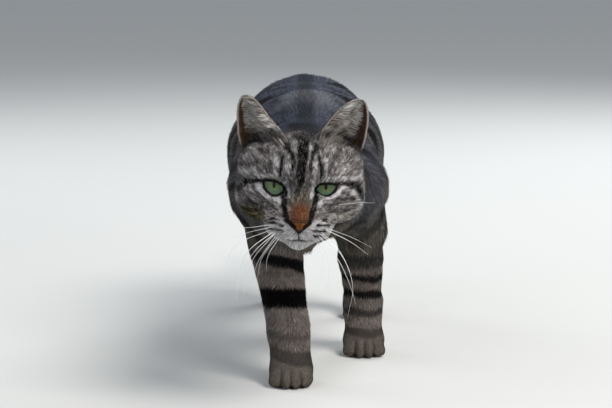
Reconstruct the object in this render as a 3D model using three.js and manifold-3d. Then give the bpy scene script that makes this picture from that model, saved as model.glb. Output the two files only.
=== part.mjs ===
// A life-size domestic cat, walking with its head low, as a still model for a museum floor.
//
// Millimetres, +Z up. The cat faces -Y and its left side is towards +X. Sizes along the body are first
// measured from the eyes; the finished group is then moved so that its origin is on the floor, under the
// middle of its box.
//
// The whole outline, out to the tips of the coat, is one smooth field: named masses of flesh, each an egg
// or a tapered limb, melted into each other. Each node is the part of that field inside its own cell, and
// thin flat cuts keep neighbours apart.
import * as THREE from "three";
import { mergeVertices } from "three/addons/utils/BufferGeometryUtils.js";
import Module from "manifold-3d";

const wasm = await Module();
wasm.setup();

// ---- driving sizes -------------------------------------------------------------------------------

const EYE_HEIGHT = 170; // of the eyes' centres over the floor
const HEAD_SHIFT = -4.6; // the head is carried a little to the cat's right
const HEAD_ROLL = THREE.MathUtils.degToRad(2.2);
const EYE_SPACING = 40;
const EYE_RADIUS = 10.3;
const EYE_DEPTH = 8.6; // of the eyeball's centre behind the plane of the corneas
const RUMP_HEIGHT = 230;
const EAR_WALL = 2.6; // with its coat
const NOSE_WIDTH = 16;
const NOSE_TOP = -19.5;
const NOSE_DROP = 11;
const SOLE_SINK = 1.4; // how far the pads are pressed flat
const CUT = 0.4; // width of the cuts between nodes
const FAR = 1000; // larger than the cat
const UP = new THREE.Vector3(0, 0, 1);
const UNIT = new THREE.Vector3(1, 1, 1);

// ---- fields: signed distances in millimetres, negative inside ------------------------------------

const clamp = THREE.MathUtils.clamp;
const lerp = THREE.MathUtils.lerp;

// An ellipsoid with its axes along X, Y and Z.
function egg([cx, cy, cz], [rx, ry, rz]) {
  const thinnest = Math.min(rx, ry, rz);
  return (x, y, z) => {
    const [u, v, w] = [(x - cx) / rx, (y - cy) / ry, (z - cz) / rz];
    const near = Math.hypot(u, v, w);
    const steep = Math.hypot(u / rx, v / ry, w / rz);
    return steep < 1e-9 ? -thinnest : (near * (near - 1)) / steep;
  };
}

// A limb with a round section that tapers from radius ra at a to rb at b.
function limb(a, b, ra, rb) {
  const [dx, dy, dz] = [b[0] - a[0], b[1] - a[1], b[2] - a[2]];
  const long = dx * dx + dy * dy + dz * dz;
  return (x, y, z) => {
    const [px, py, pz] = [x - a[0], y - a[1], z - a[2]];
    const t = clamp((px * dx + py * dy + pz * dz) / long, 0, 1);
    return Math.hypot(px - t * dx, py - t * dy, pz - t * dz) - lerp(ra, rb, t);
  };
}

// The same mass on both sides of the body.
const pair = (make) => [make(1), make(-1)];

// Two masses melted into one over a width of k.
function melt(a, b, k) {
  const h = Math.max(k - Math.abs(a - b), 0) / k;
  return Math.min(a, b) - (h * h * k) / 4;
}

// A group of masses, each melted into those before it.
function flesh(k, ...masses) {
  const all = masses.flat();
  return (x, y, z) => all.reduce((near, mass) => melt(near, mass(x, y, z), k), FAR);
}

// A field seen through a transform.
function placed(field, matrix) {
  const back = matrix.clone().invert();
  const p = new THREE.Vector3();
  return (x, y, z) => {
    p.set(x, y, z).applyMatrix4(back);
    return field(p.x, p.y, p.z);
  };
}

// ---- head, measured from the middle of the line between the eyes ----------------------------------

const skull = flesh(
  9,
  egg([0, 39.5, 6], [37, 38, 24]), // braincase
  egg([0, 17, 11], [25, 16, 15]), // forehead
  pair((s) => egg([s * 28, 30, -5], [22, 27, 25])), // cheek
  pair((s) => egg([s * 29, 34, 14], [17, 23, 17])), // temple, under the ear
  pair((s) => limb([s * 9, 3, 10], [s * 27, 9, 11], 5.5, 6)), // brow
  pair((s) => limb([s * 15, 0, -15], [s * 34, 15, -9], 6.5, 9)), // cheekbone
);
const snout = flesh(
  6,
  limb([0, 4, -4], [0, -21.5, -22], 10.5, 8), // bridge of the nose
  egg([0, -24.5, -24], [8.5, 7, 7]), // tip of the nose
  pair((s) => egg([s * 11.5, -16.5, -29.5], [15, 13.5, 9.3])), // whisker pad
  pair((s) => egg([s * 17, -3, -22], [14, 17, 13.5])), // side of the muzzle
  egg([0, -15, -39.5], [12, 10, 7]), // chin
  limb([0, -8, -33], [0, 35, -26], 10, 20), // lower jaw and throat
);
const headPlace = new THREE.Matrix4()
  .makeTranslation(HEAD_SHIFT, 0, EYE_HEIGHT)
  .multiply(new THREE.Matrix4().makeRotationY(HEAD_ROLL));
const head = placed(flesh(8, skull, snout), headPlace);

// ---- neck and trunk ------------------------------------------------------------------------------

const trunk = flesh(
  20,
  limb([HEAD_SHIFT, 50, 172], [0, 145, 168], 38, 46), // neck
  egg([0, 124, 142], [38, 30, 42]), // breast
  egg([0, 215, 165], [58, 88, 58]), // ribcage
  egg([0, 308, 161], [73, 92, 66]), // belly
  limb([0, 170, 202], [0, 215, 200], 28, 28), // withers
  egg([0, 390, RUMP_HEIGHT - 53], [57, 52, 52]), // pelvis
  pair((s) => limb([s * 24, 190, 203], [s * 42, 142, 152], 20, 24)), // shoulder blade
);

// ---- legs ----------------------------------------------------------------------------------------

// Joints of each leg from the body down, in a slow walk with the right foreleg reaching forward.
const FORELEGS = {
  right: { shoulder: [-38, 138, 150], elbow: [-27, 166, 110], wrist: [-13.5, 96, 36], toes: [-12, 72] },
  left: { shoulder: [44, 150, 152], elbow: [46, 190, 112], wrist: [50, 219, 38], toes: [50, 192] },
};
const HINDLEGS = {
  right: { hip: [-30, 388, 176], knee: [-34, 352, 122], hock: [-27, 462, 66], toes: [-26, 424] },
  left: { hip: [30, 388, 176], knee: [44, 332, 124], hock: [50, 402, 62], toes: [51, 362] },
};
const FOREPAW = [37, 46, 23]; // width, length and height
const HINDPAW = [34, 46, 21];

// A paw: the pad, and four toes side by side that reach forward from it.
function paw([x, y], [width, length, height]) {
  const toe = width / 4;
  const toes = [-1.5, -0.5, 0.5, 1.5].map((k) => {
    const reach = Math.abs(k) < 1 ? 0.36 : 0.24;
    const knuckle = [x + k * toe * 0.7, y + length * 0.1, height * 0.52];
    const tip = [x + k * toe * 0.92, y - reach * length, toe * 0.68 - SOLE_SINK];
    return limb(knuckle, tip, toe * 0.72, toe * 0.68);
  });
  const pad = egg(
    [x, y + length * 0.12, height * 0.52 - SOLE_SINK],
    [width * 0.44, length * 0.4, height * 0.52],
  );
  return flesh(3, pad, ...toes);
}
const foreleg = ({ shoulder, elbow, wrist, toes }) =>
  flesh(
    12,
    limb(shoulder, elbow, 26, 23.5),
    limb(elbow, wrist, 23.5, 17),
    limb(wrist, [toes[0], toes[1] + 10, 14], 16, 13.5),
  );
const hindleg = ({ hip, knee, hock, toes }) =>
  flesh(
    12,
    limb(hip, knee, 32, 23),
    limb([hip[0], hip[1] + 24, hip[2] - 20], [knee[0], knee[1] + 38, knee[2] - 6], 25, 18), // hamstrings
    limb(knee, hock, 21, 10.5),
    limb(hock, [toes[0], toes[1] + 10, 15], 11.5, 12),
  );

// ---- tail ----------------------------------------------------------------------------------------

const TAIL_STEPS = 16;
const tailLine = new THREE.CatmullRomCurve3(
  [
    [0, 405, 198],
    [0, 447, 188],
    [-2, 482, 152],
    [-5, 512, 112],
    [-7, 552, 86],
    [-5, 598, 80],
    [2, 640, 96],
  ].map((p) => new THREE.Vector3(...p)),
);
const tailRadius = (t) => lerp(17, 10.5, Math.pow(t, 0.7));
const tail = flesh(
  4,
  Array.from({ length: TAIL_STEPS }, (_, i) => {
    const [a, b] = [i / TAIL_STEPS, (i + 1) / TAIL_STEPS];
    const [from, to] = [tailLine.getPointAt(a), tailLine.getPointAt(b)];
    return limb(from.toArray(), to.toArray(), tailRadius(a), tailRadius(b));
  }),
);

// ---- the whole animal ----------------------------------------------------------------------------

const legs = [
  ...Object.values(FORELEGS).flatMap((leg) => [foreleg(leg), paw(leg.toes, FOREPAW)]),
  ...Object.values(HINDLEGS).flatMap((leg) => [hindleg(leg), paw(leg.toes, HINDPAW)]),
];
const body = flesh(13, trunk, ...legs, tail);
const cat = (x, y, z) => melt(head(x, y, z), body(x, y, z), 13);

// ---- from field to solid -------------------------------------------------------------------------

// Grid lines from low to high, whose spacing goes from the first to the last cell size.
function gridLines(low, high, [first, last]) {
  const lines = [low - first];
  while (lines.at(-1) < high) {
    const t = clamp((lines.at(-1) - low) / (high - low), 0, 1);
    lines.push(lines.at(-1) + lerp(first, last, t * t));
  }
  return [...lines, lines.at(-1) + last];
}

// The surface of a field inside a box, as a closed net of quads. Each cell that the surface crosses gets
// one point, drawn onto the surface, and each grid edge that it crosses gets one quad.
function surfaceNet(field, box, cells) {
  const axes = ["x", "y", "z"];
  const [xs, ys, zs] = axes.map((axis, n) => gridLines(box.min[axis], box.max[axis], cells[n]));
  const [nx, ny, nz] = [xs.length, ys.length, zs.length];
  const index = (i, j, k) => i + nx * (j + ny * k);
  const outside = (x, y, z) =>
    Math.max(
      Math.max(box.min.x - x, x - box.max.x),
      Math.max(box.min.y - y, y - box.max.y),
      Math.max(box.min.z - z, z - box.max.z),
    );
  const solid = (x, y, z) => Math.max(field(x, y, z), outside(x, y, z));
  const everyCell = (from, visit) => {
    for (let k = from; k < nz - 1; k++)
      for (let j = from; j < ny - 1; j++) for (let i = from; i < nx - 1; i++) visit(i, j, k);
  };
  const values = new Float32Array(nx * ny * nz);
  for (let k = 0; k < nz; k++)
    for (let j = 0; j < ny; j++)
      for (let i = 0; i < nx; i++) values[index(i, j, k)] = solid(xs[i], ys[j], zs[k]);

  // Where a face of the grid is crossed twice, corner to corner, the net would pinch, so the corner that
  // lies nearest to the surface is put on its other side.
  let pinched = true;
  while (pinched) {
    pinched = false;
    everyCell(0, (i, j, k) => {
      const here = index(i, j, k);
      for (const [across, along] of [[1, nx], [nx, nx * ny], [nx * ny, 1]]) {
        const face = [here, here + across, here + across + along, here + along];
        const inside = face.map((n) => values[n] < 0);
        if (inside[0] !== inside[2] || inside[1] !== inside[3] || inside[0] === inside[1]) continue;
        const nearest = face.reduce((a, b) => (Math.abs(values[a]) < Math.abs(values[b]) ? a : b));
        values[nearest] = values[nearest] < 0 ? 1e-3 : -1e-3;
        pinched = true;
      }
    });
  }

  const corners = [0, 1].flatMap((c) => [0, 1].flatMap((b) => [0, 1].map((a) => [a, b, c])));
  const edges = corners.flatMap((a, m) =>
    corners.slice(m + 1).flatMap((b) => (a.filter((v, n) => v !== b[n]).length === 1 ? [[a, b]] : [])),
  );
  const positions = [];
  const pointOf = new Int32Array(nx * ny * nz).fill(-1);
  everyCell(0, (i, j, k) => {
    const valueAt = ([a, b, c]) => values[index(i + a, j + b, k + c)];
    const crossings = edges
      .filter(([a, b]) => valueAt(a) < 0 !== valueAt(b) < 0)
      .map(([a, b]) => {
        const t = valueAt(a) / (valueAt(a) - valueAt(b));
        return a.map((v, n) => v + t * (b[n] - v));
      });
    if (!crossings.length) return;
    const [u, v, w] = [0, 1, 2].map((n) => crossings.reduce((sum, c) => sum + c[n], 0) / crossings.length);
    const start = [lerp(xs[i], xs[i + 1], u), lerp(ys[j], ys[j + 1], v), lerp(zs[k], zs[k + 1], w)];
    pointOf[index(i, j, k)] = positions.length / 3;
    positions.push(...drawnOnto(solid, start, (xs[i + 1] - xs[i]) * 0.3));
  });

  const triangles = [];
  const quad = (a, b, c, d, flip) =>
    flip ? triangles.push(a, c, b, a, d, c) : triangles.push(a, b, c, a, c, d);
  everyCell(1, (i, j, k) => {
    const here = values[index(i, j, k)] < 0;
    const cellAt = (a, b, c) => pointOf[index(i - a, j - b, k - c)];
    if (here !== values[index(i + 1, j, k)] < 0)
      quad(cellAt(0, 1, 1), cellAt(0, 0, 1), cellAt(0, 0, 0), cellAt(0, 1, 0), !here);
    if (here !== values[index(i, j + 1, k)] < 0)
      quad(cellAt(1, 0, 1), cellAt(1, 0, 0), cellAt(0, 0, 0), cellAt(0, 0, 1), !here);
    if (here !== values[index(i, j, k + 1)] < 0)
      quad(cellAt(1, 1, 0), cellAt(0, 1, 0), cellAt(0, 0, 0), cellAt(1, 0, 0), !here);
  });
  const geometry = new THREE.BufferGeometry();
  geometry.setAttribute("position", new THREE.Float32BufferAttribute(positions, 3));
  geometry.setIndex(triangles);
  return geometry;
}

// Newton steps from a point towards the field's surface, no further than a limit.
function drawnOnto(field, point, limit) {
  const h = 0.05;
  let [x, y, z] = point;
  for (let step = 0; step < 3; step++) {
    const d = field(x, y, z);
    const g = [
      (field(x + h, y, z) - field(x - h, y, z)) / (2 * h),
      (field(x, y + h, z) - field(x, y - h, z)) / (2 * h),
      (field(x, y, z + h) - field(x, y, z - h)) / (2 * h),
    ];
    const steep = Math.max(g[0] ** 2 + g[1] ** 2 + g[2] ** 2, 0.2);
    [x, y, z] = [x - (d * g[0]) / steep, y - (d * g[1]) / steep, z - (d * g[2]) / steep];
  }
  return [x, y, z].map((v, n) => clamp(v, point[n] - limit, point[n] + limit));
}

// A three.js geometry as a solid for cutting and joining, and back.
function solidOf(geometry, matrix = new THREE.Matrix4()) {
  const bare = geometry.clone().applyMatrix4(matrix);
  bare.deleteAttribute("normal");
  bare.deleteAttribute("uv");
  const merged = mergeVertices(bare, 1e-4);
  const vertProperties = merged.attributes.position.array;
  const triVerts = new Uint32Array(merged.index.array);
  return new wasm.Manifold(new wasm.Mesh({ numProp: 3, vertProperties, triVerts }));
}
function geometryOf(solid) {
  const mesh = solid.getMesh();
  const geometry = new THREE.BufferGeometry();
  geometry.setAttribute("position", new THREE.BufferAttribute(new Float32Array(mesh.vertProperties), 3));
  geometry.setIndex(new THREE.BufferAttribute(new Uint32Array(mesh.triVerts), 1));
  return geometry;
}

// Closed rings of points, one after another, joined into a closed skin with flat ends.
function loft(rings) {
  const n = rings[0].length;
  const positions = rings.flat().flatMap((p) => p.toArray());
  const triangles = [];
  for (let r = 0; r + 1 < rings.length; r++)
    for (let i = 0; i < n; i++) {
      const [a, b] = [r * n + i, r * n + ((i + 1) % n)];
      triangles.push(a, b, b + n, a, b + n, a + n);
    }
  const last = (rings.length - 1) * n;
  // Each end is a strip across its ring, so that a hollow section closes without crossing itself.
  for (let i = 0; i + 1 < n / 2; i++) {
    const [a, b, c, d] = [i, i + 1, n - 2 - i, n - 1 - i];
    triangles.push(a, d, c, a, c, b);
    triangles.push(last + a, last + c, last + d, last + a, last + b, last + c);
  }
  const geometry = new THREE.BufferGeometry();
  geometry.setAttribute("position", new THREE.Float32BufferAttribute(positions, 3));
  geometry.setIndex(triangles);
  return geometry;
}

// ---- cells: what each node keeps of the whole -----------------------------------------------------

// A box as a solid: it runs between two points, with a width across and a depth, and is grown by grow.
function block({ from, to, width, depth }, grow = 0, frame = new THREE.Matrix4()) {
  const [start, end] = [new THREE.Vector3(...from), new THREE.Vector3(...to)];
  const along = end.clone().sub(start);
  const turn = new THREE.Quaternion().setFromUnitVectors(UP, along.clone().normalize());
  const box = new THREE.BoxGeometry(width + 2 * grow, depth + 2 * grow, along.length() + 2 * grow);
  const place = new THREE.Matrix4().compose(start.add(end).multiplyScalar(0.5), turn, UNIT);
  return solidOf(box, frame.clone().multiply(place));
}

// Cells are taken from the whole one after another, so each is cut clear of those before it.
const taken = [];
const group = new THREE.Group();

function addMesh(name, solid, color, roughness = 0.85) {
  const material = new THREE.MeshStandardMaterial({ color, roughness, metalness: 0 });
  const mesh = new THREE.Mesh(geometryOf(solid), material);
  mesh.name = name;
  group.add(mesh);
}

// The cat inside a solid, without what has been taken. cells are its grid's spacings along each axis.
function fleshIn(keep, cells) {
  const { min, max } = keep.boundingBox();
  const box = new THREE.Box3(new THREE.Vector3(...min), new THREE.Vector3(...max));
  // The net reaches past the cell, so that the cell cuts its ends off.
  box.expandByScalar(Math.max(...cells.flat())).intersect(BODY_BOX);
  const rough = solidOf(surfaceNet(cat, box, cells));
  const clear = taken.reduce((solid, other) => solid.subtract(other), rough.intersect(keep));
  return clear.decompose().sort((a, b) => b.volume() - a.volume())[0];
}
const even = (size) => [[size, size], [size, size], [size, size]];

function addCell(name, color, cells, cell, frame) {
  addMesh(name, fleshIn(block(cell, 0, frame), cells), color);
  taken.push(block(cell, CUT, frame));
}

// ---- nodes ---------------------------------------------------------------------------------------

const BODY_BOX = new THREE.Box3(new THREE.Vector3(-95, -60, -4), new THREE.Vector3(95, 680, 260));
const GREY = 0x6e675e;
const BLUE_GREY = 0x4c4c56;
const PALE_GREY = 0x8a8378;
const CREAM = 0xc9c2b8;
const GREEN = 0x6f8a5a;
const BRICK = 0x9a5a3c;
const SIDES = [["left", 1], ["right", -1]];

// Eyes: balls in the sockets that they cut.
function eyeball(s, grow) {
  const centre = new THREE.Vector3((s * EYE_SPACING) / 2, EYE_DEPTH, 0).applyMatrix4(headPlace);
  const facing = new THREE.Matrix4().makeRotationX(Math.PI / 2).setPosition(centre);
  return solidOf(new THREE.SphereGeometry(EYE_RADIUS + grow, 14, 9), facing);
}
for (const [side, s] of SIDES) {
  addMesh(`eye_${side}`, eyeball(s, 0), GREEN, 0.1);
  taken.push(eyeball(s, CUT));
}

// Nose leather: a rounded triangle at the tip of the snout.
const NOSE_BACK = -22; // how far in it goes, from the plane of the eyes
const NOSE_REACH = 25;
function noseWedge(grow) {
  const [half, top, tip] = [NOSE_WIDTH / 2 + grow, NOSE_TOP + grow, NOSE_TOP - NOSE_DROP - grow];
  const outline = new THREE.Shape();
  outline.moveTo(-half, top - 1);
  outline.quadraticCurveTo(0, top + 1.6, half, top - 1);
  outline.bezierCurveTo(half + 0.6, top - 5, half * 0.55, tip + 4.2, 1.1, tip);
  outline.lineTo(-1.1, tip);
  outline.bezierCurveTo(-half * 0.55, tip + 4.2, -half - 0.6, top - 5, -half, top - 1);
  const settings = { depth: NOSE_REACH + grow, curveSegments: 5, bevelEnabled: false };
  const wedge = new THREE.ExtrudeGeometry(outline, settings);
  wedge.rotateX(Math.PI / 2).translate(0, NOSE_BACK + grow, 0);
  return solidOf(wedge, headPlace);
}
addMesh("nose", fleshIn(noseWedge(0), even(3.8)), BRICK, 0.5);
taken.push(noseWedge(CUT));

// Ears: cups open to the front, of arcs between an inner and an outer edge, from the root to the tip.
const EAR_INNER = [
  [12, 27, 24],
  [15.6, 23, 37.5],
  [24.5, 25, 51.5],
  [32, 28, 60.5],
  [40, 31, 66],
  [44.4, 32, 67.6],
];
const EAR_OUTER = [
  [42, 36, 17],
  [47.2, 33, 31],
  [49.6, 32, 44],
  [50.4, 32, 55],
  [48.6, 32.5, 64],
  [46.2, 32.4, 67.4],
];
const EAR_CUP = [20, 17.5, 13, 8.5, 4, 1]; // depth behind the edges
const EAR_ARC = 8; // points across each arc
const EAR_RINGS = 10;
function earSolid(s, grow) {
  const mirrored = ([x, y, z]) => new THREE.Vector3(s * x, y, z);
  const line = (points) => new THREE.CatmullRomCurve3(points.map(mirrored));
  const [inner, outer] = [line(EAR_INNER), line(EAR_OUTER)];
  const depth = line(EAR_CUP.map((d) => [0, d, 0]));
  const rings = Array.from({ length: EAR_RINGS }, (_, r) => {
    const t = r / (EAR_RINGS - 1);
    const [a, b, cup] = [inner.getPoint(t), outer.getPoint(t), depth.getPoint(t).y];
    const middle = a.clone().add(b).multiplyScalar(0.5);
    const half = b.clone().sub(a).multiplyScalar(0.5);
    const across = half.clone().normalize();
    const back = new THREE.Vector3(0, 1, 0).addScaledVector(across, -across.y).normalize();
    const wall = EAR_WALL * lerp(1, 0.6, t);
    const at = (angle, out, push) =>
      middle
        .clone()
        .addScaledVector(across, -Math.cos(angle) * (half.length() + out))
        .addScaledVector(back, Math.sin(angle) * (cup + out) + push - grow * (1 - Math.sin(angle)));
    const arc = Array.from({ length: EAR_ARC }, (_, i) => (Math.PI * i) / (EAR_ARC - 1));
    const cupFace = arc.map((angle) => at(angle, -grow, 0));
    const backFace = arc.map((angle) => at(angle, wall + grow, wall * 0.35));
    return [...cupFace, ...backFace.reverse()];
  });
  rings[0].forEach((point) => point.addScaledVector(UP, -grow));
  return solidOf(loft(s > 0 ? rings : rings.map((ring) => ring.reverse())), headPlace);
}
for (const [side, s] of SIDES) {
  addMesh(`ear_${side}`, earSolid(s, 0), GREY);
  taken.push(earSolid(s, CUT));
}

// Lower jaw below the line of the mouth, then the head in front of the nape, then the neck.
const JAW = { from: [0, -10.4, -65], to: [0, -13, -35.2], width: 44, depth: 50 };
const HEAD = { from: [-4.6, -70, 162], to: [-4.6, 58, 177], width: 130, depth: 130 };
const NECK = { from: [0, 22, 220], to: [0, 120, 170], width: 150, depth: 160 };
const HEAD_GRID = [[5.9, 5.9], [4.6, 15], [5.2, 10]]; // finer at the face
addCell("jaw", CREAM, even(7), JAW, headPlace);
addCell("head", GREY, HEAD_GRID, HEAD);
addCell("neck", BLUE_GREY, even(17), NECK);

// Legs from the paw up. A paw's cell stands on the floor, which presses its pads flat.
const PAW_TOP = 25;
const PAW_GRID = [[7, 7], [7, 7], [6, 9]];
const LIMB_GRID = { forearm: 14, upper_arm: 19, hock: 13, shank: 15, thigh: 23 };
const LIMBS = {
  front_right: {
    paw: { from: [-12, 74, 0], to: [-12, 74, PAW_TOP], width: 58, depth: 84 },
    forearm: { from: [-12, 88, 15], to: [-25, 148, 92], width: 66, depth: 54 },
    upper_arm: { from: [-62, 120, 184], to: [-42, 172, 96], width: 74, depth: 62 },
  },
  front_left: {
    paw: { from: [50, 196, 0], to: [50, 196, PAW_TOP], width: 58, depth: 84 },
    forearm: { from: [50.5, 226, 15], to: [48.6, 198.6, 90], width: 66, depth: 58 },
    upper_arm: { from: [60, 124, 184], to: [60, 194, 102], width: 70, depth: 62 },
  },
  hind_right: {
    paw: { from: [-26, 428, 0], to: [-26, 428, PAW_TOP], width: 54, depth: 84 },
    hock: { from: [-26, 430, 10], to: [-27, 467, 75], width: 54, depth: 50 },
    shank: { from: [-27, 470, 64], to: [-34, 366, 112], width: 60, depth: 60 },
    thigh: { from: [-61, 392, 206], to: [-53, 350, 96], width: 74, depth: 96 },
  },
  hind_left: {
    paw: { from: [51, 366, 0], to: [51, 366, PAW_TOP], width: 54, depth: 84 },
    hock: { from: [51, 369, 10], to: [50, 408, 71], width: 54, depth: 50 },
    shank: { from: [49, 412, 56], to: [45, 346, 110], width: 60, depth: 60 },
    thigh: { from: [60, 388, 206], to: [60, 336, 96], width: 74, depth: 96 },
  },
};
for (const [leg, pieces] of Object.entries(LIMBS))
  for (const [piece, cell] of Object.entries(pieces))
    addCell(`${piece}_${leg}`, PALE_GREY, piece === "paw" ? PAW_GRID : even(LIMB_GRID[piece]), cell);

// The tail in three lengths from the tip up, each beyond a plane square to its line.
for (const [name, t] of [["tail_tip", 0.68], ["tail_middle", 0.38], ["tail_base", 0.12]]) {
  const [point, heading] = [tailLine.getPointAt(t), tailLine.getTangentAt(t)];
  const to = point.clone().addScaledVector(heading, 260).toArray();
  addCell(name, BLUE_GREY, even(13), { from: point.toArray(), to, width: 70, depth: 110 });
}

// What is left is the trunk, in three lengths.
for (const [name, near, far] of [["chest", 60, 218], ["belly", 218 + CUT, 322], ["rump", 322 + CUT, 480]])
  addCell(name, BLUE_GREY, even(26), { from: [0, near, 150], to: [0, far, 150], width: 190, depth: 200 });

// The origin goes to the floor, under the middle of the box.
group.updateMatrixWorld(true);
const bounds = new THREE.Box3().setFromObject(group);
const middle = bounds.getCenter(new THREE.Vector3());
group.position.set(-middle.x, -middle.y, -bounds.min.z);

export default group;
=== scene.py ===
# A short-haired tabby cat that walks towards the viewer with its head low, as a still, life-size model.
#
# Metres, +Z up. The cat faces -Y and its left side is towards +X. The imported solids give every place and
# size; this script gives them a skin, a coat, eyes, nose leather and whiskers.

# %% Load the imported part
import math
from contextlib import contextmanager

import bpy
import numpy as np
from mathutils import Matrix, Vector
from mathutils.bvhtree import BVHTree


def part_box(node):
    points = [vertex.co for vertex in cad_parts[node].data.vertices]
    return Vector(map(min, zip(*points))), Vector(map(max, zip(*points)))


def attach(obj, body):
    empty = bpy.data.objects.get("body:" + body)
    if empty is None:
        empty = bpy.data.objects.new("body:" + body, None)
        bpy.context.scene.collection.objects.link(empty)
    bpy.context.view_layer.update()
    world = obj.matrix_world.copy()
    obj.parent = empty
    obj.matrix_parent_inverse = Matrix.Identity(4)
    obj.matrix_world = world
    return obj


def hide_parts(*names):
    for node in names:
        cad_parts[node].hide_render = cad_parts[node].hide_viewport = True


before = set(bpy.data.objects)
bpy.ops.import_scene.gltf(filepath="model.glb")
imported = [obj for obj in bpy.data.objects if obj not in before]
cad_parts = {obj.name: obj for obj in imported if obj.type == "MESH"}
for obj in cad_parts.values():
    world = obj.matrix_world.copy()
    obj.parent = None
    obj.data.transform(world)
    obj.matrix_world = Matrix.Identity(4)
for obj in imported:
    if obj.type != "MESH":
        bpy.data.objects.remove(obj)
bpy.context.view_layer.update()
rng = np.random.default_rng(20)
MM = 0.001

# %% [markdown]
# ## Small tools
# The skin has tens of thousands of points, so most steps work on whole arrays of them rather than on one
# point at a time. These few functions carry arrays in and out of meshes, blend them, give a lattice noise
# and relax them. Blender's own operators do the rest, and they need the right object and faces chosen.


# %% Small tools
def points_of(mesh):
    flat = np.empty(len(mesh.vertices) * 3, np.float32)
    mesh.vertices.foreach_get("co", flat)
    return flat.reshape(-1, 3).astype(float)


def set_points(mesh, points):
    mesh.vertices.foreach_set("co", points.astype(np.float32).ravel())
    mesh.update()


def normals_of(mesh):
    flat = np.empty(len(mesh.vertices) * 3, np.float32)
    mesh.vertices.foreach_get("normal", flat)
    return flat.reshape(-1, 3).astype(float)


def triangles_of(mesh):
    mesh.calc_loop_triangles()
    flat = np.empty(len(mesh.loop_triangles) * 3, np.int32)
    mesh.loop_triangles.foreach_get("vertices", flat)
    return flat.reshape(-1, 3)


def edges_of(mesh):
    flat = np.empty(len(mesh.edges) * 2, np.int32)
    mesh.edges.foreach_get("vertices", flat)
    return flat.reshape(-1, 2)


def unit(v):
    return v / np.maximum(np.linalg.norm(v, axis=-1, keepdims=True), 1e-12)


def ramp(low, high, x):
    t = np.clip((x - low) / (high - low), 0, 1)
    return t * t * (3 - 2 * t)


def bell(at, across, up, wide, high):
    """A soft round spot on the front view, 1 at its middle."""
    return np.exp(-(((at[:, 0] - across) / wide) ** 2 + ((at[:, 1] - up) / high) ** 2))


def oval(at, across, up, wide, high):
    """How far out places lie in an oval on the front view, 1 on its outline."""
    return np.hypot((at[:, 0] - across) / wide, (at[:, 1] - up) / high)


def blend(a, b, t):
    return a + (b - a) * t


def relax(values, edges, strength, rounds):
    """Moves each value towards its neighbours' mean. strength is one number for each."""
    count = len(values)
    a, b = edges[:, 0], edges[:, 1]
    degree = np.maximum(np.bincount(edges.ravel(), minlength=count), 1)[:, None]
    for _ in range(rounds):
        near = np.stack(
            [np.bincount(a, v[b], count) + np.bincount(b, v[a], count) for v in values.T],
            axis=1,
        )
        values = values + strength[:, None] * (near / degree - values)
    return values


def noise(points, size, seed=0):
    """Smooth noise from 0 to 1 with lumps of about the given size, in metres."""
    p = points / size + 100.0
    cell = np.floor(p).astype(np.int64)
    f = p - cell
    f = f * f * (3 - 2 * f)
    total = np.zeros(len(points))
    for corner in np.ndindex(2, 2, 2):
        at = cell + corner
        n = (at[:, 0] * 73856093) ^ (at[:, 1] * 19349663) ^ (at[:, 2] * 83492791)
        n ^= seed * 2654435761
        n = ((n ^ (n >> 13)) * 1274126177) & 0x7FFFFFFF
        n = ((n ^ (n >> 15)) * 60493) & 0x7FFFFFFF
        share = np.prod(np.where(corner, f, 1 - f), axis=1)
        total += share * (n / 0x7FFFFFFF)
    return total


def only(obj):
    """Selects this object alone and makes it active."""
    bpy.ops.object.select_all(action="DESELECT")
    obj.select_set(True)
    bpy.context.view_layer.objects.active = obj


def apply_modifier(obj, kind, **settings):
    only(obj)
    modifier = obj.modifiers.new(kind.title(), kind)
    for key, value in settings.items():
        setattr(modifier, key, value)
    bpy.ops.object.modifier_apply(modifier=modifier.name)


@contextmanager
def editing(obj, chosen=None):
    """Edit mode with all of an object's faces selected, or the chosen ones."""
    only(obj)
    bpy.ops.object.mode_set(mode="EDIT")
    bpy.ops.mesh.select_all(action="SELECT" if chosen is None else "DESELECT")
    if chosen is not None:
        bpy.ops.object.mode_set(mode="OBJECT")
        obj.data.polygons.foreach_set("select", chosen)
        bpy.ops.object.mode_set(mode="EDIT")
    yield
    bpy.ops.object.mode_set(mode="OBJECT")


# %% [markdown]
# ## Head measures
# The head is turned a little about the line of sight, so the face is measured in the head's own frame,
# in millimetres: x to the cat's left, y back from the front of the eyes, z up. What is drawn on the face
# is easier to place as it shows from in front, so two more numbers, across and up, say where a point of
# the face shows to someone 1.7 m away whose eyes are 8 degrees above it.

# %% Head measures
corners = [np.array(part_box(name)) for name in ("eye_left", "eye_right")]
eye_left, eye_right = [c.mean(axis=0) for c in corners]
EYE_R = 10.0
EYE_BACK = 8.6
VIEW_TILT = math.radians(8)
VIEW_FAR = 1700
middle = (eye_left + eye_right) / 2
HEAD_X = unit(eye_left - eye_right)
HEAD_Y = np.array([0.0, 1.0, 0.0])
HEAD_Z = np.cross(HEAD_X, HEAD_Y)
print("eyes", eye_left.round(4), eye_right.round(4))


def to_head(points):
    away = (points - middle) / MM
    return np.stack([away @ HEAD_X, away @ HEAD_Y + EYE_BACK, away @ HEAD_Z], axis=1)


def from_head(points):
    x, y, z = np.asarray(points, float).T
    out = np.outer(x, HEAD_X) + np.outer(y - EYE_BACK, HEAD_Y) + np.outer(z, HEAD_Z)
    return middle + out * MM


def face_view(points):
    """Where points show from the front, in millimetres at the eyes' depth."""
    x, y, z = to_head(points).T
    near = VIEW_FAR / (VIEW_FAR + y)
    return np.stack([x * near, (z * math.cos(VIEW_TILT) + y * math.sin(VIEW_TILT)) * near], axis=1)


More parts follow.
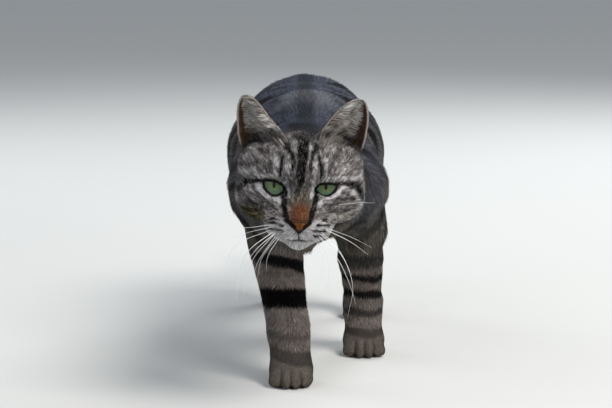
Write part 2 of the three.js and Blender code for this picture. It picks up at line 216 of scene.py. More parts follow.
def from_view(across, up, y):
    """The place in the head's frame that shows at across, up and lies y back."""
    near = VIEW_FAR / (VIEW_FAR + y)
    return across / near, y, (up / near - y * math.sin(VIEW_TILT)) / math.cos(VIEW_TILT)


# %% [markdown]
# ## Camera, light and floor
# The camera looks along the walk, a little from above, from two steps away with a long lens. The light is
# plain and soft, as in a studio: a broad lamp above and to one side, a weak one at the other side, two
# behind for the outline, a small one that the corneas catch, and a pale sky. A floor is all the setting.

# %% Camera, light and floor
AIM = Vector((0.0, -0.3069, 0.158))
CAMERA_FAR = 1.70
SENSOR = 36
LENS = 130
scene = bpy.context.scene
scene.view_settings.view_transform = "Standard"
camera_data = bpy.data.cameras.new("camera")
camera_data.sensor_width = SENSOR
camera_data.lens = LENS
camera = bpy.data.objects.new("camera", camera_data)
scene.collection.objects.link(camera)
away = Vector((0, -math.cos(VIEW_TILT), math.sin(VIEW_TILT)))
camera.location = AIM + away * CAMERA_FAR
camera.rotation_euler = (-away).to_track_quat("-Z", "Y").to_euler()
camera_data.clip_end = 50
scene.camera = camera


def area_light(name, place, target, size, power, colour):
    data = bpy.data.lights.new(name, "AREA")
    data.shape = "DISK"
    data.size = size
    data.energy = power
    data.color = colour
    lamp = bpy.data.objects.new(name, data)
    scene.collection.objects.link(lamp)
    lamp.location = place
    lamp.rotation_euler = (Vector(target) - Vector(place)).to_track_quat("-Z", "Y").to_euler()


area_light("light_above", (1.15, -0.95, 1.9), (0, -0.1, 0.1), 1.2, 44, (1.0, 0.97, 0.93))
area_light("light_left", (-1.6, -1.3, 0.9), (0, -0.2, 0.12), 1.2, 6, (0.92, 0.96, 1.0))
area_light("light_back", (0.9, 1.6, 1.4), (0, 0.1, 0.15), 1.0, 22, (0.95, 0.98, 1.0))
area_light("light_far", (-1.5, 1.3, 1.0), (0, 0.0, 0.12), 1.2, 12, (0.95, 0.97, 1.0))
area_light("light_eyes", (0.95, -1.6, 0.75), (0, -0.31, 0.17), 0.3, 4, (1.0, 1.0, 1.0))
world = bpy.data.worlds.new("sky")
scene.world = world
world.use_nodes = True
sky = world.node_tree.nodes["Background"]
sky.inputs["Color"].default_value = (0.86, 0.92, 1.0, 1)
sky.inputs["Strength"].default_value = 0.46

bpy.ops.mesh.primitive_plane_add(size=14)
floor = bpy.context.active_object
floor.name = "floor"
floor_look = bpy.data.materials.new("floor_pale")
floor_look.use_nodes = True
floor_bsdf = floor_look.node_tree.nodes["Principled BSDF"]
floor_bsdf.inputs["Base Color"].default_value = (0.62, 0.62, 0.60, 1)
floor_bsdf.inputs["Roughness"].default_value = 0.9
floor.data.materials.append(floor_look)

# %% [markdown]
# ## One skin
# The body is one hide with no seam, but the solids are parted by thin cuts. A boolean union would leave a
# crease at each cut, so copies are swelled by a hair's breadth until neighbours run into each other,
# joined, and turned into one closed surface by a voxel remesh. Each point then takes its group from the
# solid it lies on, and relaxing smooths the body more than the face.

# %% One skin
SWELL = 0.0004
VOXEL = 0.00125
FLESH = [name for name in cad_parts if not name.startswith("eye_")]
GROUPS = ("ear", "face", "neck", "trunk", "upper", "lower", "paw", "tail")


def group_of(node):
    if node.startswith("ear"):
        return 0
    if node in ("head", "jaw", "nose"):
        return 1
    if node == "neck":
        return 2
    if node.startswith(("upper_arm", "thigh")):
        return 4
    if node.startswith(("forearm", "shank", "hock")):
        return 5
    if node.startswith("paw"):
        return 6
    if node.startswith("tail"):
        return 7
    return 3


bpy.ops.object.select_all(action="DESELECT")
copies = []
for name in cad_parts:
    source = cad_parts[name]
    copy = source.copy()
    copy.data = source.data.copy()
    copy.data.materials.clear()
    copy.parent = None
    copy.matrix_world = source.matrix_world
    scene.collection.objects.link(copy)
    copy.select_set(True)
    copies.append(copy)
bpy.context.view_layer.objects.active = copies[0]
bpy.ops.object.join()
skin = bpy.context.active_object
skin.name = skin.data.name = "skin"
for key in list(skin.keys()):
    del skin[key]
bpy.ops.object.transform_apply(location=True, rotation=True, scale=True)
with editing(skin):
    bpy.ops.mesh.remove_doubles(threshold=1e-6)
    bpy.ops.mesh.normals_make_consistent(inside=False)
    bpy.ops.transform.shrink_fatten(value=SWELL)
apply_modifier(skin, "REMESH", mode="VOXEL", voxel_size=VOXEL)
print("remeshed skin", len(skin.data.vertices), "points")

flesh_points, flesh_faces, flesh_group = [], [], []
start = 0
for name in FLESH:
    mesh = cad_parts[name].data
    mesh_points, mesh_faces = points_of(mesh), triangles_of(mesh)
    flesh_points.append(mesh_points)
    flesh_faces.append(mesh_faces + start)
    flesh_group += [group_of(name)] * len(mesh_faces)
    start += len(mesh_points)
flesh_tree = BVHTree.FromPolygons(
    np.concatenate(flesh_points).tolist(), np.concatenate(flesh_faces).tolist()
)


def group_weights(mesh, rounds):
    """For each point, its share in each group, blended over a few millimetres of skin."""
    at = points_of(mesh)
    nearest = [flesh_tree.find_nearest(p)[2] for p in at]
    shares = np.eye(len(GROUPS))[np.array(flesh_group)[nearest]]
    return relax(shares, edges_of(mesh), np.full(len(at), 0.6), rounds)


weights = group_weights(skin.data, 6)
RELAXING = np.array([2, 12, 60, 120, 80, 34, 10, 50])
STOPS = (2, 12, 20, 34, 50, 80, 120)
rounds_here = weights @ RELAXING
points, edges = points_of(skin.data), edges_of(skin.data)
done = 0
for stop in STOPS:
    strength = 0.5 * np.clip((rounds_here - done) / (stop - done), 0, 1)
    points = relax(points, edges, strength, stop - done)
    done = stop
for _ in range(16):
    points = relax(points, edges, 0.50 * weights[:, 0], 1)
    points = relax(points, edges, -0.52 * weights[:, 0], 1)
set_points(skin.data, points)

# %% [markdown]
# ## Fine where it matters
# The trunk and the legs are thinned, because the coat hides them. The surroundings of the eyes, the nose
# and the mouth are divided, and the eyes' once more, so that lids and nostrils have points to bend. One
# finer remesh would do it too, but with many more triangles where nothing is gained.

# %% Fine where it matters
BODY_KEPT = 0.13
points = points_of(skin.data)
head = to_head(points)
kept = (weights[:, 0] > 0.2) | ((weights[:, 1] > 0.3) & (head[:, 1] < 24)) | (weights[:, 6] > 0.6)
kept_faces = kept[np.array([p.vertices[:] for p in skin.data.polygons])].any(axis=1)
with editing(skin, ~kept_faces):
    bpy.ops.mesh.decimate(ratio=BODY_KEPT)
print("thinned to", len(triangles_of(skin.data)), "triangles")


def divide(where):
    """Divides the faces whose middle is where the given test says, in the head's millimetres."""
    with editing(skin):
        bpy.ops.mesh.quads_convert_to_tris()
    middles = np.empty(len(skin.data.polygons) * 3, np.float32)
    skin.data.polygons.foreach_get("center", middles)
    chosen = where(to_head(middles.reshape(-1, 3).astype(float)))
    with editing(skin, chosen):
        bpy.ops.mesh.subdivide(number_cuts=1)
        bpy.ops.mesh.select_all(action="SELECT")
        bpy.ops.mesh.quads_convert_to_tris()
    return int(chosen.sum())


def near_eye(h, reach):
    return np.hypot(np.abs(h[:, 0]) - 20, h[:, 2]) < reach


def near_muzzle(h):
    return np.hypot(h[:, 0] / 14, (h[:, 2] + 30) / 11) < 1


print("features divided", divide(lambda h: (h[:, 1] < 10) & (near_eye(h, 11) | near_muzzle(h))))
print("lids divided", divide(lambda h: (h[:, 1] < 6) & near_eye(h, 10)))
points, edges = points_of(skin.data), edges_of(skin.data)
weights = group_weights(skin.data, 14)
points = relax(points, edges, 0.5 * ramp(0.5, 1, weights[:, 1]), 6)
set_points(skin.data, points)
print("skin", len(skin.data.polygons), "faces")

# %% [markdown]
# ## Under the coat
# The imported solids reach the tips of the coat, so the skin is drawn in along its normals by the coat's
# depth: a quarter of a millimetre on the ears, up to two and a half on the face, three on the trunk. The
# muzzle is made slimmer towards the chin, and the outer edge of the right ear comes in.

# %% Under the coat
DEPTH = np.array([0.25, 1.5, 2.8, 3.0, 2.7, 1.6, 0.9, 2.7])
points, edges = points_of(skin.data), edges_of(skin.data)
head = to_head(points)
face_depth = 0.9 + 1.6 * ramp(0, 60, head[:, 1]) - 0.5 * ramp(12, 4, np.hypot(head[:, 0], head[:, 2] + 27))
face_depth = np.where(near_eye(head, 15) & (head[:, 1] < 12), 0.7, face_depth)
depth = weights @ DEPTH + weights[:, 1] * (face_depth - DEPTH[1])
points = points - normals_of(skin.data) * depth[:, None] * MM
sole = points[:, 2] < 0.0012
points[sole, 2] = np.maximum(points[sole, 2], 0.0004)
points = relax(points, edges, np.full(len(points), 0.3), 2)
head, view = to_head(points), face_view(points)
slim = 0.08 * ramp(-20, -28, view[:, 1]) + 0.18 * ramp(-35, -46, view[:, 1])
head[:, 0] = 1.0 + (head[:, 0] - 1.0) * (1 - slim * ramp(26, 8, head[:, 1]) * ramp(0, 0.5, weights[:, 1]))
narrow = np.interp(view[:, 1], [34, 39.7, 46.6, 54, 62.7, 80], [0, 0.07, 0.09, 0.16, 0.19, 0.17])
head[:, 0] -= narrow * np.maximum(view[:, 0] + 48.5, 0) * weights[:, 0] * (view[:, 0] < 0)
points = from_head(head)


# %% [markdown]
# ## Toes
# Each paw has four toes. They could be four balls joined to the foot, but under short fur only the
# furrows between them show: three run back from the front edge and fade on top of the foot.

# %% Toes
PAWS = [name for name in FLESH if name.startswith("paw_")]
FURROW = 1.9


def toe_gaps(at, wide=1.5):
    """How much points lie in the furrows between toes, from 0 to 1. wide is in millimetres."""
    out = np.zeros(len(at))
    for name in PAWS:
        low, high = [np.array(corner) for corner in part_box(name)]
        span = high[0] - low[0]
        middle = (high[0] + low[0]) / 2
        inside = (at[:, 0] > low[0] - 0.002) & (at[:, 0] < high[0] + 0.002) & (at[:, 2] < high[2] + 0.004)
        inside &= (at[:, 1] > low[1] - 0.004) & (at[:, 1] < high[1])
        back = (at[:, 1] - low[1]) / MM
        fade = ramp(15, 7, back) * ramp(19, 12, at[:, 2] / MM)
        for k in (-1, 0, 1):
            line = middle + k * span * (0.235 - 0.0025 * back)
            out = np.maximum(out, inside * fade * np.exp(-(((at[:, 0] - line) / MM / wide) ** 2)))
    return out


furrow = toe_gaps(points) * ramp(0.3, 0.7, weights[:, 6])
points = points - normals_of(skin.data) * (FURROW * furrow * MM)[:, None]
points[:, 2] = np.maximum(points[:, 2], np.where(sole, 0.0004, 0.0008))
print("toes furrowed", int((furrow > 0.3).sum()), "points")

# %% [markdown]
# ## Lids
# Each opening is a closed outline seen from the front, in millimetres from the eye's centre: outward and
# up. The upper lid is nearly level, the lower one round, and the inner corner the lowest. A hole cut in
# the skin would leave a hard edge, so the skin stays whole: over the opening it sinks behind the eyeball,
# the margin lies on the ball, and the skin round it is relaxed until it meets the face in a soft fold.

# %% Lids
OPENING = {
    "left": [(-7.6, -1.8), (-6.6, 0.6), (-4.2, 2.1), (-1.0, 2.9), (3.0, 3.0), (6.6, 2.8), (8.4, 2.0)]
    + [(7.2, -1.0), (5.2, -3.7), (2.4, -5.6), (-0.8, -6.1), (-3.8, -5.2), (-6.0, -3.7)],
    "right": [(-7.9, -3.2), (-7.1, -0.2), (-4.8, 1.6), (-1.6, 3.1), (1.6, 3.8), (4.8, 4.0), (7.9, 3.4)]
    + [(7.2, -0.8), (5.2, -4.0), (2.4, -6.4), (-0.8, -7.4), (-4.0, -6.8), (-6.4, -5.0)],
}
EYE_FRONT = HEAD_Z * math.sin(VIEW_TILT) - HEAD_Y * math.cos(VIEW_TILT)
EYE_UP = HEAD_Z * math.cos(VIEW_TILT) + HEAD_Y * math.sin(VIEW_TILT)
EYES = {"left": (eye_left, HEAD_X), "right": (eye_right, -HEAD_X)}


def curve(p0, p1, p2, p3, t):
    """A place on a Catmull-Rom line, between p1 and p2."""
    square = (2 * p0 - 5 * p1 + 4 * p2 - p3) * t**2
    cube = (3 * p1 - p0 - 3 * p2 + p3) * t**3
    return 0.5 * (2 * p1 + (p2 - p0) * t + square + cube)


def smooth_loop(knots, steps=6):
    """A closed smooth line through the knots."""
    k = np.array(knots, float)
    around = np.roll(k, 1, 0), k, np.roll(k, -1, 0), np.roll(k, -2, 0)
    return np.stack([curve(*around, t) for t in np.arange(steps) / steps], axis=1).reshape(-1, 2)


def to_loop(at, loop):
    """Distance from points to a closed line, negative inside it, and the nearest places on the line."""
    best = np.full(len(at), 1e9)
    place = np.zeros((len(at), 2))
    inside = np.zeros(len(at), bool)
    for p, q in zip(loop, np.roll(loop, -1, 0)):
        way = q - p
        t = np.clip(((at - p) @ way) / (way @ way), 0, 1)
        spot = p + t[:, None] * way
        gap = np.hypot(*(at - spot).T)
        closer = gap < best
        best = np.where(closer, gap, best)
        place[closer] = spot[closer]
        crosses = (p[1] > at[:, 1]) != (q[1] > at[:, 1])
        meets = (q[0] - p[0]) * (at[:, 1] - p[1]) / (q[1] - p[1] + 1e-12) + p[0]
        inside ^= crosses & (at[:, 0] < meets)
    return np.where(inside, -best, best), place


def eye_view(at, side):
    """Polar place of points about an eye: outward, up and front shares, and distance, in millimetres."""
    centre, outward = EYES[side]
    v = (at - centre) / MM
    r = np.linalg.norm(v, axis=1)
    d = v / np.maximum(r, 1e-9)[:, None]
    return d @ outward, d @ EYE_UP, d @ EYE_FRONT, r


def arc(across, up):
    """Lengths along the eyeball from its front for shares seen from the front."""
    seen = np.maximum(np.hypot(across, up), 1e-9)
    stretch = np.arcsin(np.minimum(seen, 1)) / seen * EYE_R
    return across * stretch, up * stretch


def from_eye(a, b, r, side):
    """A point at distance r from the eye's centre, whose direction is a, b along the eyeball."""
    centre, outward = EYES[side]
    reach = np.maximum(np.hypot(a, b), 1e-9)
    s, u = np.sin(reach / EYE_R) * a / reach, np.sin(reach / EYE_R) * b / reach
    way = s[:, None] * outward + u[:, None] * EYE_UP + np.cos(reach / EYE_R)[:, None] * EYE_FRONT
    return centre + way * r[:, None] * MM


LOOPS = {}
for side, knots in OPENING.items():
    seen = smooth_loop(knots) / EYE_R
    LOOPS[side] = np.stack(arc(seen[:, 0], seen[:, 1]), axis=1)
arc_gap = np.full(len(points), 99.0)
for side, (centre, outward) in EYES.items():
    s, u, f, r = eye_view(points, side)
    here = np.flatnonzero((f > -0.15) & (r < EYE_R + 9))
    reach = np.arccos(np.clip(f[here], -1, 1)) * EYE_R / np.maximum(np.hypot(s, u)[here], 1e-9)
    a, b = s[here] * reach, u[here] * reach
    gap, place = to_loop(np.stack([a, b], axis=1), LOOPS[side])
    snap = np.abs(gap - 0.15) < 0.25
    a, b = np.where(snap, place[:, 0], a), np.where(snap, place[:, 1], b)
    gap = np.where(snap, 0.15, gap)
    moved = from_eye(a, b, EYE_R + 0.3 + 0.5 * ramp(0.1, 1.2, gap), side)
    flat = (moved - centre) @ np.stack([outward, EYE_UP], axis=1)
    deep = centre + flat @ np.stack([outward, EYE_UP]) + 2 * MM * EYE_FRONT
    moved = blend(deep, moved, ramp(-0.15, 0.15, gap)[:, None])
    lid = ramp(1.5, 0.9, gap) * ramp(EYE_R + 8, EYE_R + 5, r[here])
    points[here] = blend(points[here], moved, lid[:, None])
    arc_gap[here] = np.minimum(arc_gap[here], gap + 3 * ramp(EYE_R + 5, EYE_R + 8, r[here]))
loose = 0.9 * ramp(0.8, 1.4, arc_gap) * ramp(6.0, 4.6, arc_gap)
for _ in range(5):
    points = relax(points, edges, loose, 24)
    for side, (centre, outward) in EYES.items():
        s, u, f, r = eye_view(points, side)
        short = np.flatnonzero((f > -0.1) & (r < EYE_R + 0.75) & (arc_gap > 0.8) & (arc_gap < 12))
        away = points[short] - centre
        points[short] = centre + away * ((EYE_R + 0.75) / r[short])[:, None]
lid_gap = np.full(len(points), 99.0)
for side, (centre, outward) in EYES.items():
    _, _, f, r = eye_view(points, side)
    here = np.flatnonzero((f > -0.3) & (r < EYE_R + 16))
    outline = from_eye(*LOOPS[side].T, np.full(len(LOOPS[side]), EYE_R + 0.6), side)
    gap = np.linalg.norm(points[here, None] - outline[None], axis=2).min(axis=1) / MM
    lid_gap[here] = np.minimum(lid_gap[here], gap)
lid_gap = np.where(arc_gap < 0, arc_gap, lid_gap)
print("lids bend", int((lid_gap < 5).sum()), "points")

# %% [markdown]
# ## Mouth and nose
# The closed mouth is a groove pressed in along lines drawn on the front view. Under the nose leather the
# skin is pressed in further, to make room for that piece.

# %% Mouth and nose

def to_line(at, line):
    """Distance from points to an open line of (x, y, half width), less the half width."""
    best = np.full(len(at), 1e9)
    knots = np.array(line, float)
    if len(knots) == 1:
        return np.hypot(at[:, 0] - knots[0, 0], at[:, 1] - knots[0, 1]) - knots[0, 2]
    for p, q in zip(knots, knots[1:]):
        way = q[:2] - p[:2]
        t = np.clip(((at - p[:2]) @ way) / (way @ way), 0, 1)
        gap = np.hypot(*(at - (p[:2] + t[:, None] * way)).T) - blend(p[2], q[2], t)
        best = np.minimum(best, gap)
    return best


def drawn(at, lines, soft=0.5, wider=0.0):
    """How much points lie on any of the lines, from 0 to 1. wider adds to their half widths."""
    out = np.zeros(len(at))
    for line in lines:
        out = np.maximum(out, ramp(soft, -soft, to_line(at, line) - wider))
    return out


MOUTH = [
    [(-14, -38.3, 0.0), (-9.1, -39.1, 0.2), (-4.6, -40.0, 0.4), (0.3, -39.4, 0.8)],
    [(0.3, -39.4, 0.8), (5.4, -40.0, 0.4), (10.3, -39.1, 0.2), (15.5, -38.2, 0.0)],
    [(0.3, -34.6, 0.6), (0.3, -39.4, 0.6)],
]
NOSE_LOOP = smooth_loop(
    [(0.8, -25.4), (5.8, -25.2), (9.3, -25.5), (9.8, -27.2), (7.0, -29.9), (3.4, -32.8), (0.6, -35.0)]
    + [(-2.2, -32.9), (-5.6, -30.1), (-8.1, -27.5), (-7.8, -25.8), (-4.4, -25.3)]
)
skin_tree = BVHTree.FromPolygons(points.tolist(), triangles_of(skin.data).tolist())
head = to_head(points)
view = face_view(points)
front = (head[:, 1] < 8) & (weights[:, 1] > 0.5)
press = np.zeros(len(points))
press[front] += 1.3 * drawn(view[front], MOUTH, 1.0)
nose_gap, _ = to_loop(view[front], NOSE_LOOP)
under_nose = 0.6 * ramp(0.9, 0.0, nose_gap) + 3.6 * ramp(0.0, -1.2, nose_gap)
press[front] += under_nose * (head[front, 1] < -16)
points[:, 1] += press * MM
set_points(skin.data, points)
print("mouth and nose", int((press > 0.1).sum()), "points")

# %% [markdown]
# ## Shader maths
# A small wrapper lets node sockets be used in plain expressions, so that each material reads as a formula
# rather than as a list of nodes and links.


# %% Shader maths
class Val:
    """One output socket. + - * / with numbers or other sockets make Math nodes."""

    def __init__(self, board, socket):
        self.board, self.socket = board, socket

    def _math(self, kind, *values):
        made = self.board.node("ShaderNodeMath", {"operation": kind}, dict(enumerate(values)))
        return Val(self.board, made)

    def __add__(self, other):
        return self._math("ADD", self, other)

    def __sub__(self, other):
        return self._math("SUBTRACT", self, other)

    def __rsub__(self, other):
        return self._math("SUBTRACT", other, self)

    def __mul__(self, other):
        return self._math("MULTIPLY", self, other)

    def __truediv__(self, other):
        return self._math("DIVIDE", self, other)

    def __pow__(self, other):
        return self._math("POWER", self, other)

    def root(self):
        return self._math("SQRT", self)

    def ramp(self, low, high, start=0.0, end=1.0):
        settings = {"interpolation_type": "SMOOTHSTEP"}
        values = {0: self, 1: low, 2: high, 3: start, 4: end}
        return Val(self.board, self.board.node("ShaderNodeMapRange", settings, values))

    __radd__ = __add__
    __rmul__ = __mul__


class Board:
    """A material's node tree with its Principled node."""

    def __init__(self, name, roughness, **uniform):
        self.material = bpy.data.materials.new(name)
        self.material.use_nodes = True
        self.tree = self.material.node_tree
        self.bsdf = self.tree.nodes["Principled BSDF"]
        self.bsdf.inputs["Roughness"].default_value = roughness
        for key, value in uniform.items():
            self.bsdf.inputs[key.replace("_", " ")].default_value = value

    def node(self, kind, settings=None, values=None, output=0):
        made = self.tree.nodes.new(kind)
        for key, value in (settings or {}).items():
            setattr(made, key, value)
        for key, value in (values or {}).items():
            self.feed(made.inputs[key], value)
        return made.outputs[output]

    def feed(self, socket, value):
        if isinstance(value, Val):
            value = value.socket
        if isinstance(value, bpy.types.NodeSocket):
            self.tree.links.new(value, socket)
        else:
            socket.default_value = value

    def set(self, name, value):
        self.feed(self.bsdf.inputs[name], value)

    def place(self):
        """Object coordinates."""
        return self.node("ShaderNodeTexCoord", output="Object")

    def colour(self, name):
        return self.node("ShaderNodeAttribute", {"attribute_name": name}, output="Color")

    def number(self, name):
        return Val(self, self.node("ShaderNodeAttribute", {"attribute_name": name}, output="Fac"))

    def noise(self, vector, scale, detail=3.0):
        values = {"Vector": vector, "Scale": scale, "Detail": detail}
        return Val(self, self.node("ShaderNodeTexNoise", {}, values))

    def mix(self, factor, a, b):
        made = self.tree.nodes.new("ShaderNodeMix")
        made.data_type = "RGBA"
        colour_inputs = [i for i in made.inputs if i.type == "RGBA"]
        self.feed(made.inputs[0], factor)
        self.feed(colour_inputs[0], a)
        self.feed(colour_inputs[1], b)
        return [o for o in made.outputs if o.type == "RGBA"][0]

    def bump(self, height, strength, distance):
        values = {"Height": height, "Strength": strength, "Distance": distance}
        self.set("Normal", self.node("ShaderNodeBump", {}, values))


def rgb(r, g, b):
    return (r, g, b, 1.0)


def mesh_object(name, points, faces, look):
    """A new mesh piece from arrays, shaded smooth."""
    mesh = bpy.data.meshes.new(name)
    mesh.from_pydata(np.asarray(points).tolist(), [], [tuple(int(i) for i in f) for f in faces])
    mesh.materials.append(look)
    mesh.shade_smooth()
    mesh.validate()
    obj = bpy.data.objects.new(name, mesh)
    scene.collection.objects.link(obj)
    return obj


def grid_faces(rows, columns, closed):
    """Quads between rows of points. closed joins each row's ends."""
    out = []
    for i in range(rows - 1):
        for j in range(columns if closed else columns - 1):
            k = (j + 1) % columns
            out.append((i * columns + j, i * columns + k, (i + 1) * columns + k, (i + 1) * columns + j))
    return out


def facing(obj):
    """Turns all faces outward."""
    with editing(obj):
        bpy.ops.mesh.normals_make_consistent(inside=False)


def note(mesh, name, values):
    """Keeps a number at each point for a material to read."""
    layer = mesh.attributes.new(name, "FLOAT", "POINT")
    layer.data.foreach_set("value", values.astype(np.float32))


# %% [markdown]
# ## Eyes
# An eye could be a ball with a painted iris, but a real iris lies behind a clear cornea, and its depth
# shows as the head turns. So each eyeball is turned from rings about its line of sight: a dark ball, the
# ring where the iris starts, and the iris as a shallow dish behind it. Fibres run out from a slit of a
# pupil, the iris darkens at its rim, a painted shadow of the upper lid darkens its top, and a thin clear
# cornea lies over it all.

# %% Eyes
LIMBUS = 8.0
IRIS_BACK = math.sqrt(EYE_R**2 - LIMBUS**2)
SPOKES = 96
CORNEA_LIFT = 0.06


def turned(side, rings):
    """Points of rings (radius, distance forward) about an eye's line of sight, in metres."""
    centre, outward = EYES[side]
    angle = np.arange(SPOKES) / SPOKES * 2 * math.pi
    rows = []
    for radius, forward in rings:
        flat = np.outer(np.cos(angle), outward) + np.outer(np.sin(angle), EYE_UP)
        rows.append(centre + (radius * flat + forward * EYE_FRONT) * MM)
    return np.concatenate(rows)


iris = Board("eye_iris", 0.42, Specular_IOR_Level=0.3)
around, out_share, up_share = iris.number("around"), iris.number("out"), iris.number("up")
fibres = iris.node("ShaderNodeCombineXYZ", {}, {0: around * 9.0, 1: out_share * 1.3, 2: 0.0})
streak = iris.noise(fibres, 3.2, 4.0)
patch = iris.noise(fibres, 0.8, 2.0)
green = iris.mix(up_share.ramp(-0.7, 0.6), rgb(0.080, 0.180, 0.115), rgb(0.125, 0.190, 0.042))
inner = iris.mix(out_share.ramp(0.62, 0.25), green, rgb(0.165, 0.22, 0.05))
lined = iris.mix(streak.ramp(0.42, 0.60) * 0.65, inner, rgb(0.055, 0.095, 0.045))
mottled = iris.mix(patch.ramp(0.48, 0.64) * 0.45, lined, rgb(0.19, 0.25, 0.13))
rim_dark = iris.mix(out_share.ramp(0.76, 0.99), mottled, rgb(0.010, 0.016, 0.010))
wide, high = iris.number("across"), iris.number("height")
# The top of the iris is darkened as a painted shadow of the upper lid.
painted_lid_shadow = iris.mix(high.ramp(1.6, 4.4) * 0.75, rim_dark, rgb(0.006, 0.009, 0.005))
slit = ((wide / 1.25) ** 2.0 + ((high - 1.2) / 2.8) ** 2.0).root()
iris.set("Base Color", iris.mix(slit.ramp(1.12, 0.94), painted_lid_shadow, rgb(0.001, 0.001, 0.001)))
iris.bump(streak, 0.35, 0.0004)
ball = Board("eye_ball", 0.25)
ball.set("Base Color", rgb(0.02, 0.014, 0.012))
cornea = Board("eye_cornea", 0.02)
clear = cornea.node("ShaderNodeBsdfTransparent", {}, {0: rgb(1, 1, 1)})
shine = cornea.node("ShaderNodeBsdfGlossy", {}, {"Color": rgb(1, 1, 1), "Roughness": 0.03})
bend = cornea.node("ShaderNodeFresnel", {}, {"IOR": 1.22})
both = cornea.node("ShaderNodeMixShader", {}, {0: bend, 1: clear, 2: shine})
cornea.tree.links.new(both, cornea.tree.nodes["Material Output"].inputs["Surface"])
BALL = [(0.05, -EYE_R)]
BALL += [(EYE_R * math.sin(a), -EYE_R * math.cos(a)) for a in np.linspace(0.15, math.pi - 0.95, 22)]
BALL += [(LIMBUS + 0.15, IRIS_BACK - 0.1), (LIMBUS - 0.1, IRIS_BACK - 0.45)]
DISH = [
    (LIMBUS * share, IRIS_BACK - 0.5 - 0.45 * (1 - share) + 0.25 * (1 - share) ** 3)
    for share in np.linspace(0.97, 0.02, 30)
]
CAP_R = EYE_R + CORNEA_LIFT
CAP = [(CAP_R * math.sin(a), CAP_R * math.cos(a)) for a in np.linspace(0.01, 1.05, 22)]
for side in EYES:
    ball_faces = grid_faces(len(BALL + DISH), SPOKES, True)
    eyeball = mesh_object("eyeball_" + side, turned(side, BALL + DISH), ball_faces, ball.material)
    eyeball.data.materials.append(iris.material)
    rows = np.arange(len(eyeball.data.polygons)) // SPOKES
    eyeball.data.polygons.foreach_set("material_index", (rows >= len(BALL) - 1).astype(np.int32))
    s, u, f, r = eye_view(points_of(eyeball.data), side)
    flat = np.hypot(s, u) * r
    reads = {"around": np.abs(np.arctan2(s, u)), "out": flat / LIMBUS, "up": u * r / LIMBUS}
    reads.update({"across": s * r, "height": u * r})
    for key, values in reads.items():
        note(eyeball.data, key, values)
    facing(eyeball)
    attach(eyeball, "root")
    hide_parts("eye_" + side)
    cap_faces = grid_faces(len(CAP), SPOKES, True)
    lens = mesh_object("cornea_" + side, turned(side, CAP), cap_faces, cornea.material)
    lens.visible_shadow = False
    facing(lens)
    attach(lens, "root")
print("eyes built")

# %% [markdown]
# ## Rims of the lids
# Bare black skin edges each opening: narrow above, wide below and at the inner corner, where it runs down
# into the tear line. The skin's own points are too few for so crisp an edge, so a small section is swept
# round the outline on the eyeball and joined to the skin. Each ring of it is set by a share of the rim's
# width, a distance more, and how far it stands off the ball.

# %% Rims of the lids
RIM_SECTION = [
    (0, -0.35, -0.9), (0, -0.1, 0.1), (0, 0.08, 0.42), (0.2, 0.08, 0.62), (0.5, 0.04, 0.80),
    (0.85, 0.0, 0.92), (1.0, 0.1, 0.90), (1.0, 0.6, 0.1),
]
rim_look = Board("lid_rim", 0.6, Specular_IOR_Level=0.08)
rim_look.set("Base Color", rgb(0.004, 0.0035, 0.0035))
rims = []
for side in EYES:
    seen = smooth_loop(OPENING[side], 10) / EYE_R
    loop = np.stack(arc(seen[:, 0], seen[:, 1]), axis=1)
    ahead, behind = np.roll(loop, -1, 0), np.roll(loop, 1, 0)
    along = unit(ahead - behind)
    outwards = np.stack([along[:, 1], -along[:, 0]], axis=1)
    centre = loop.mean(axis=0)
    outwards *= np.sign(((loop - centre) * outwards).sum(axis=1))[:, None]
    steps = np.arange(len(loop))
    ring_edges = np.stack([steps, np.roll(steps, -1)], axis=1)
    outwards = unit(relax(outwards, ring_edges, np.full(len(loop), 0.5), 6))
    wide = 0.62 + 1.4 * ramp(0.3, -0.6, outwards[:, 1]) + 1.0 * ramp(0.4, 1.0, -outwards[:, 0])
    rows = []
    for share, more, off in RIM_SECTION:
        at = loop + outwards * (wide * share + more)[:, None]
        rows.append(from_eye(at[:, 0], at[:, 1], np.full(len(at), EYE_R + off), side))
    rim_faces = grid_faces(len(rows), len(loop), True)
    rim = mesh_object("rim_" + side, np.concatenate(rows), rim_faces, rim_look.material)
    facing(rim)
    rims.append(rim)

# %% [markdown]
# ## Nose leather
# The leather is bare, pebbled and sharp-edged, so it is a piece of its own. A patch in its outline is laid
# over the tip of the nose by casting rays at the skin from in front. Its edge tucks into the skin, the
# nostrils are comma-shaped pits, and a groove parts it.

# %% Nose leather
SIGHT = Vector(-EYE_FRONT)
NOSE_TIP = -25.0
BEFORE_FACE = 0.08


def on_skin(view_points, tree):
    """Places on the skin that show at the given points of the front view."""
    out = []
    for a, b in view_points:
        y = NOSE_TIP
        for _ in range(3):
            start = Vector(from_head([from_view(a, b, y)])[0]) - SIGHT * BEFORE_FACE
            hit, _, _, _ = tree.ray_cast(start, SIGHT)
            if hit is None:
                break
            y = to_head(np.array([hit]))[0, 1]
        out.append(np.array(hit if hit is not None else start))
    return np.array(out)


NOSTRILS = [
    [(3.6, -30.3, 0.55), (5.6, -28.6, 0.95), (7.6, -27.3, 0.75), (8.8, -26.3, 0.35)],
    [(-2.2, -30.3, 0.55), (-4.1, -28.6, 0.95), (-6.0, -27.3, 0.75), (-7.2, -26.3, 0.35)],
]
dense = smooth_loop(NOSE_LOOP[::6], 10)
nose_middle = np.array([0.8, -28.2])
shares = np.concatenate([[0.02], np.linspace(0.08, 0.97, 26), [1.0, 1.04, 1.08]])
flat = np.concatenate([nose_middle + (dense - nose_middle) * share for share in shares])
laid = on_skin(flat, skin_tree)
ring_of = np.repeat(shares, len(dense))
pit = drawn(flat, NOSTRILS, 0.55)
groove = drawn(flat, [[(0.6, -29.6, 0.15), (0.4, -35.5, 0.3)]], 0.6)
dome = 1.35 * (1 - ramp(0.55, 1.05, ring_of)) + 0.55
dome = np.where(ring_of > 1.0, -0.9, dome)
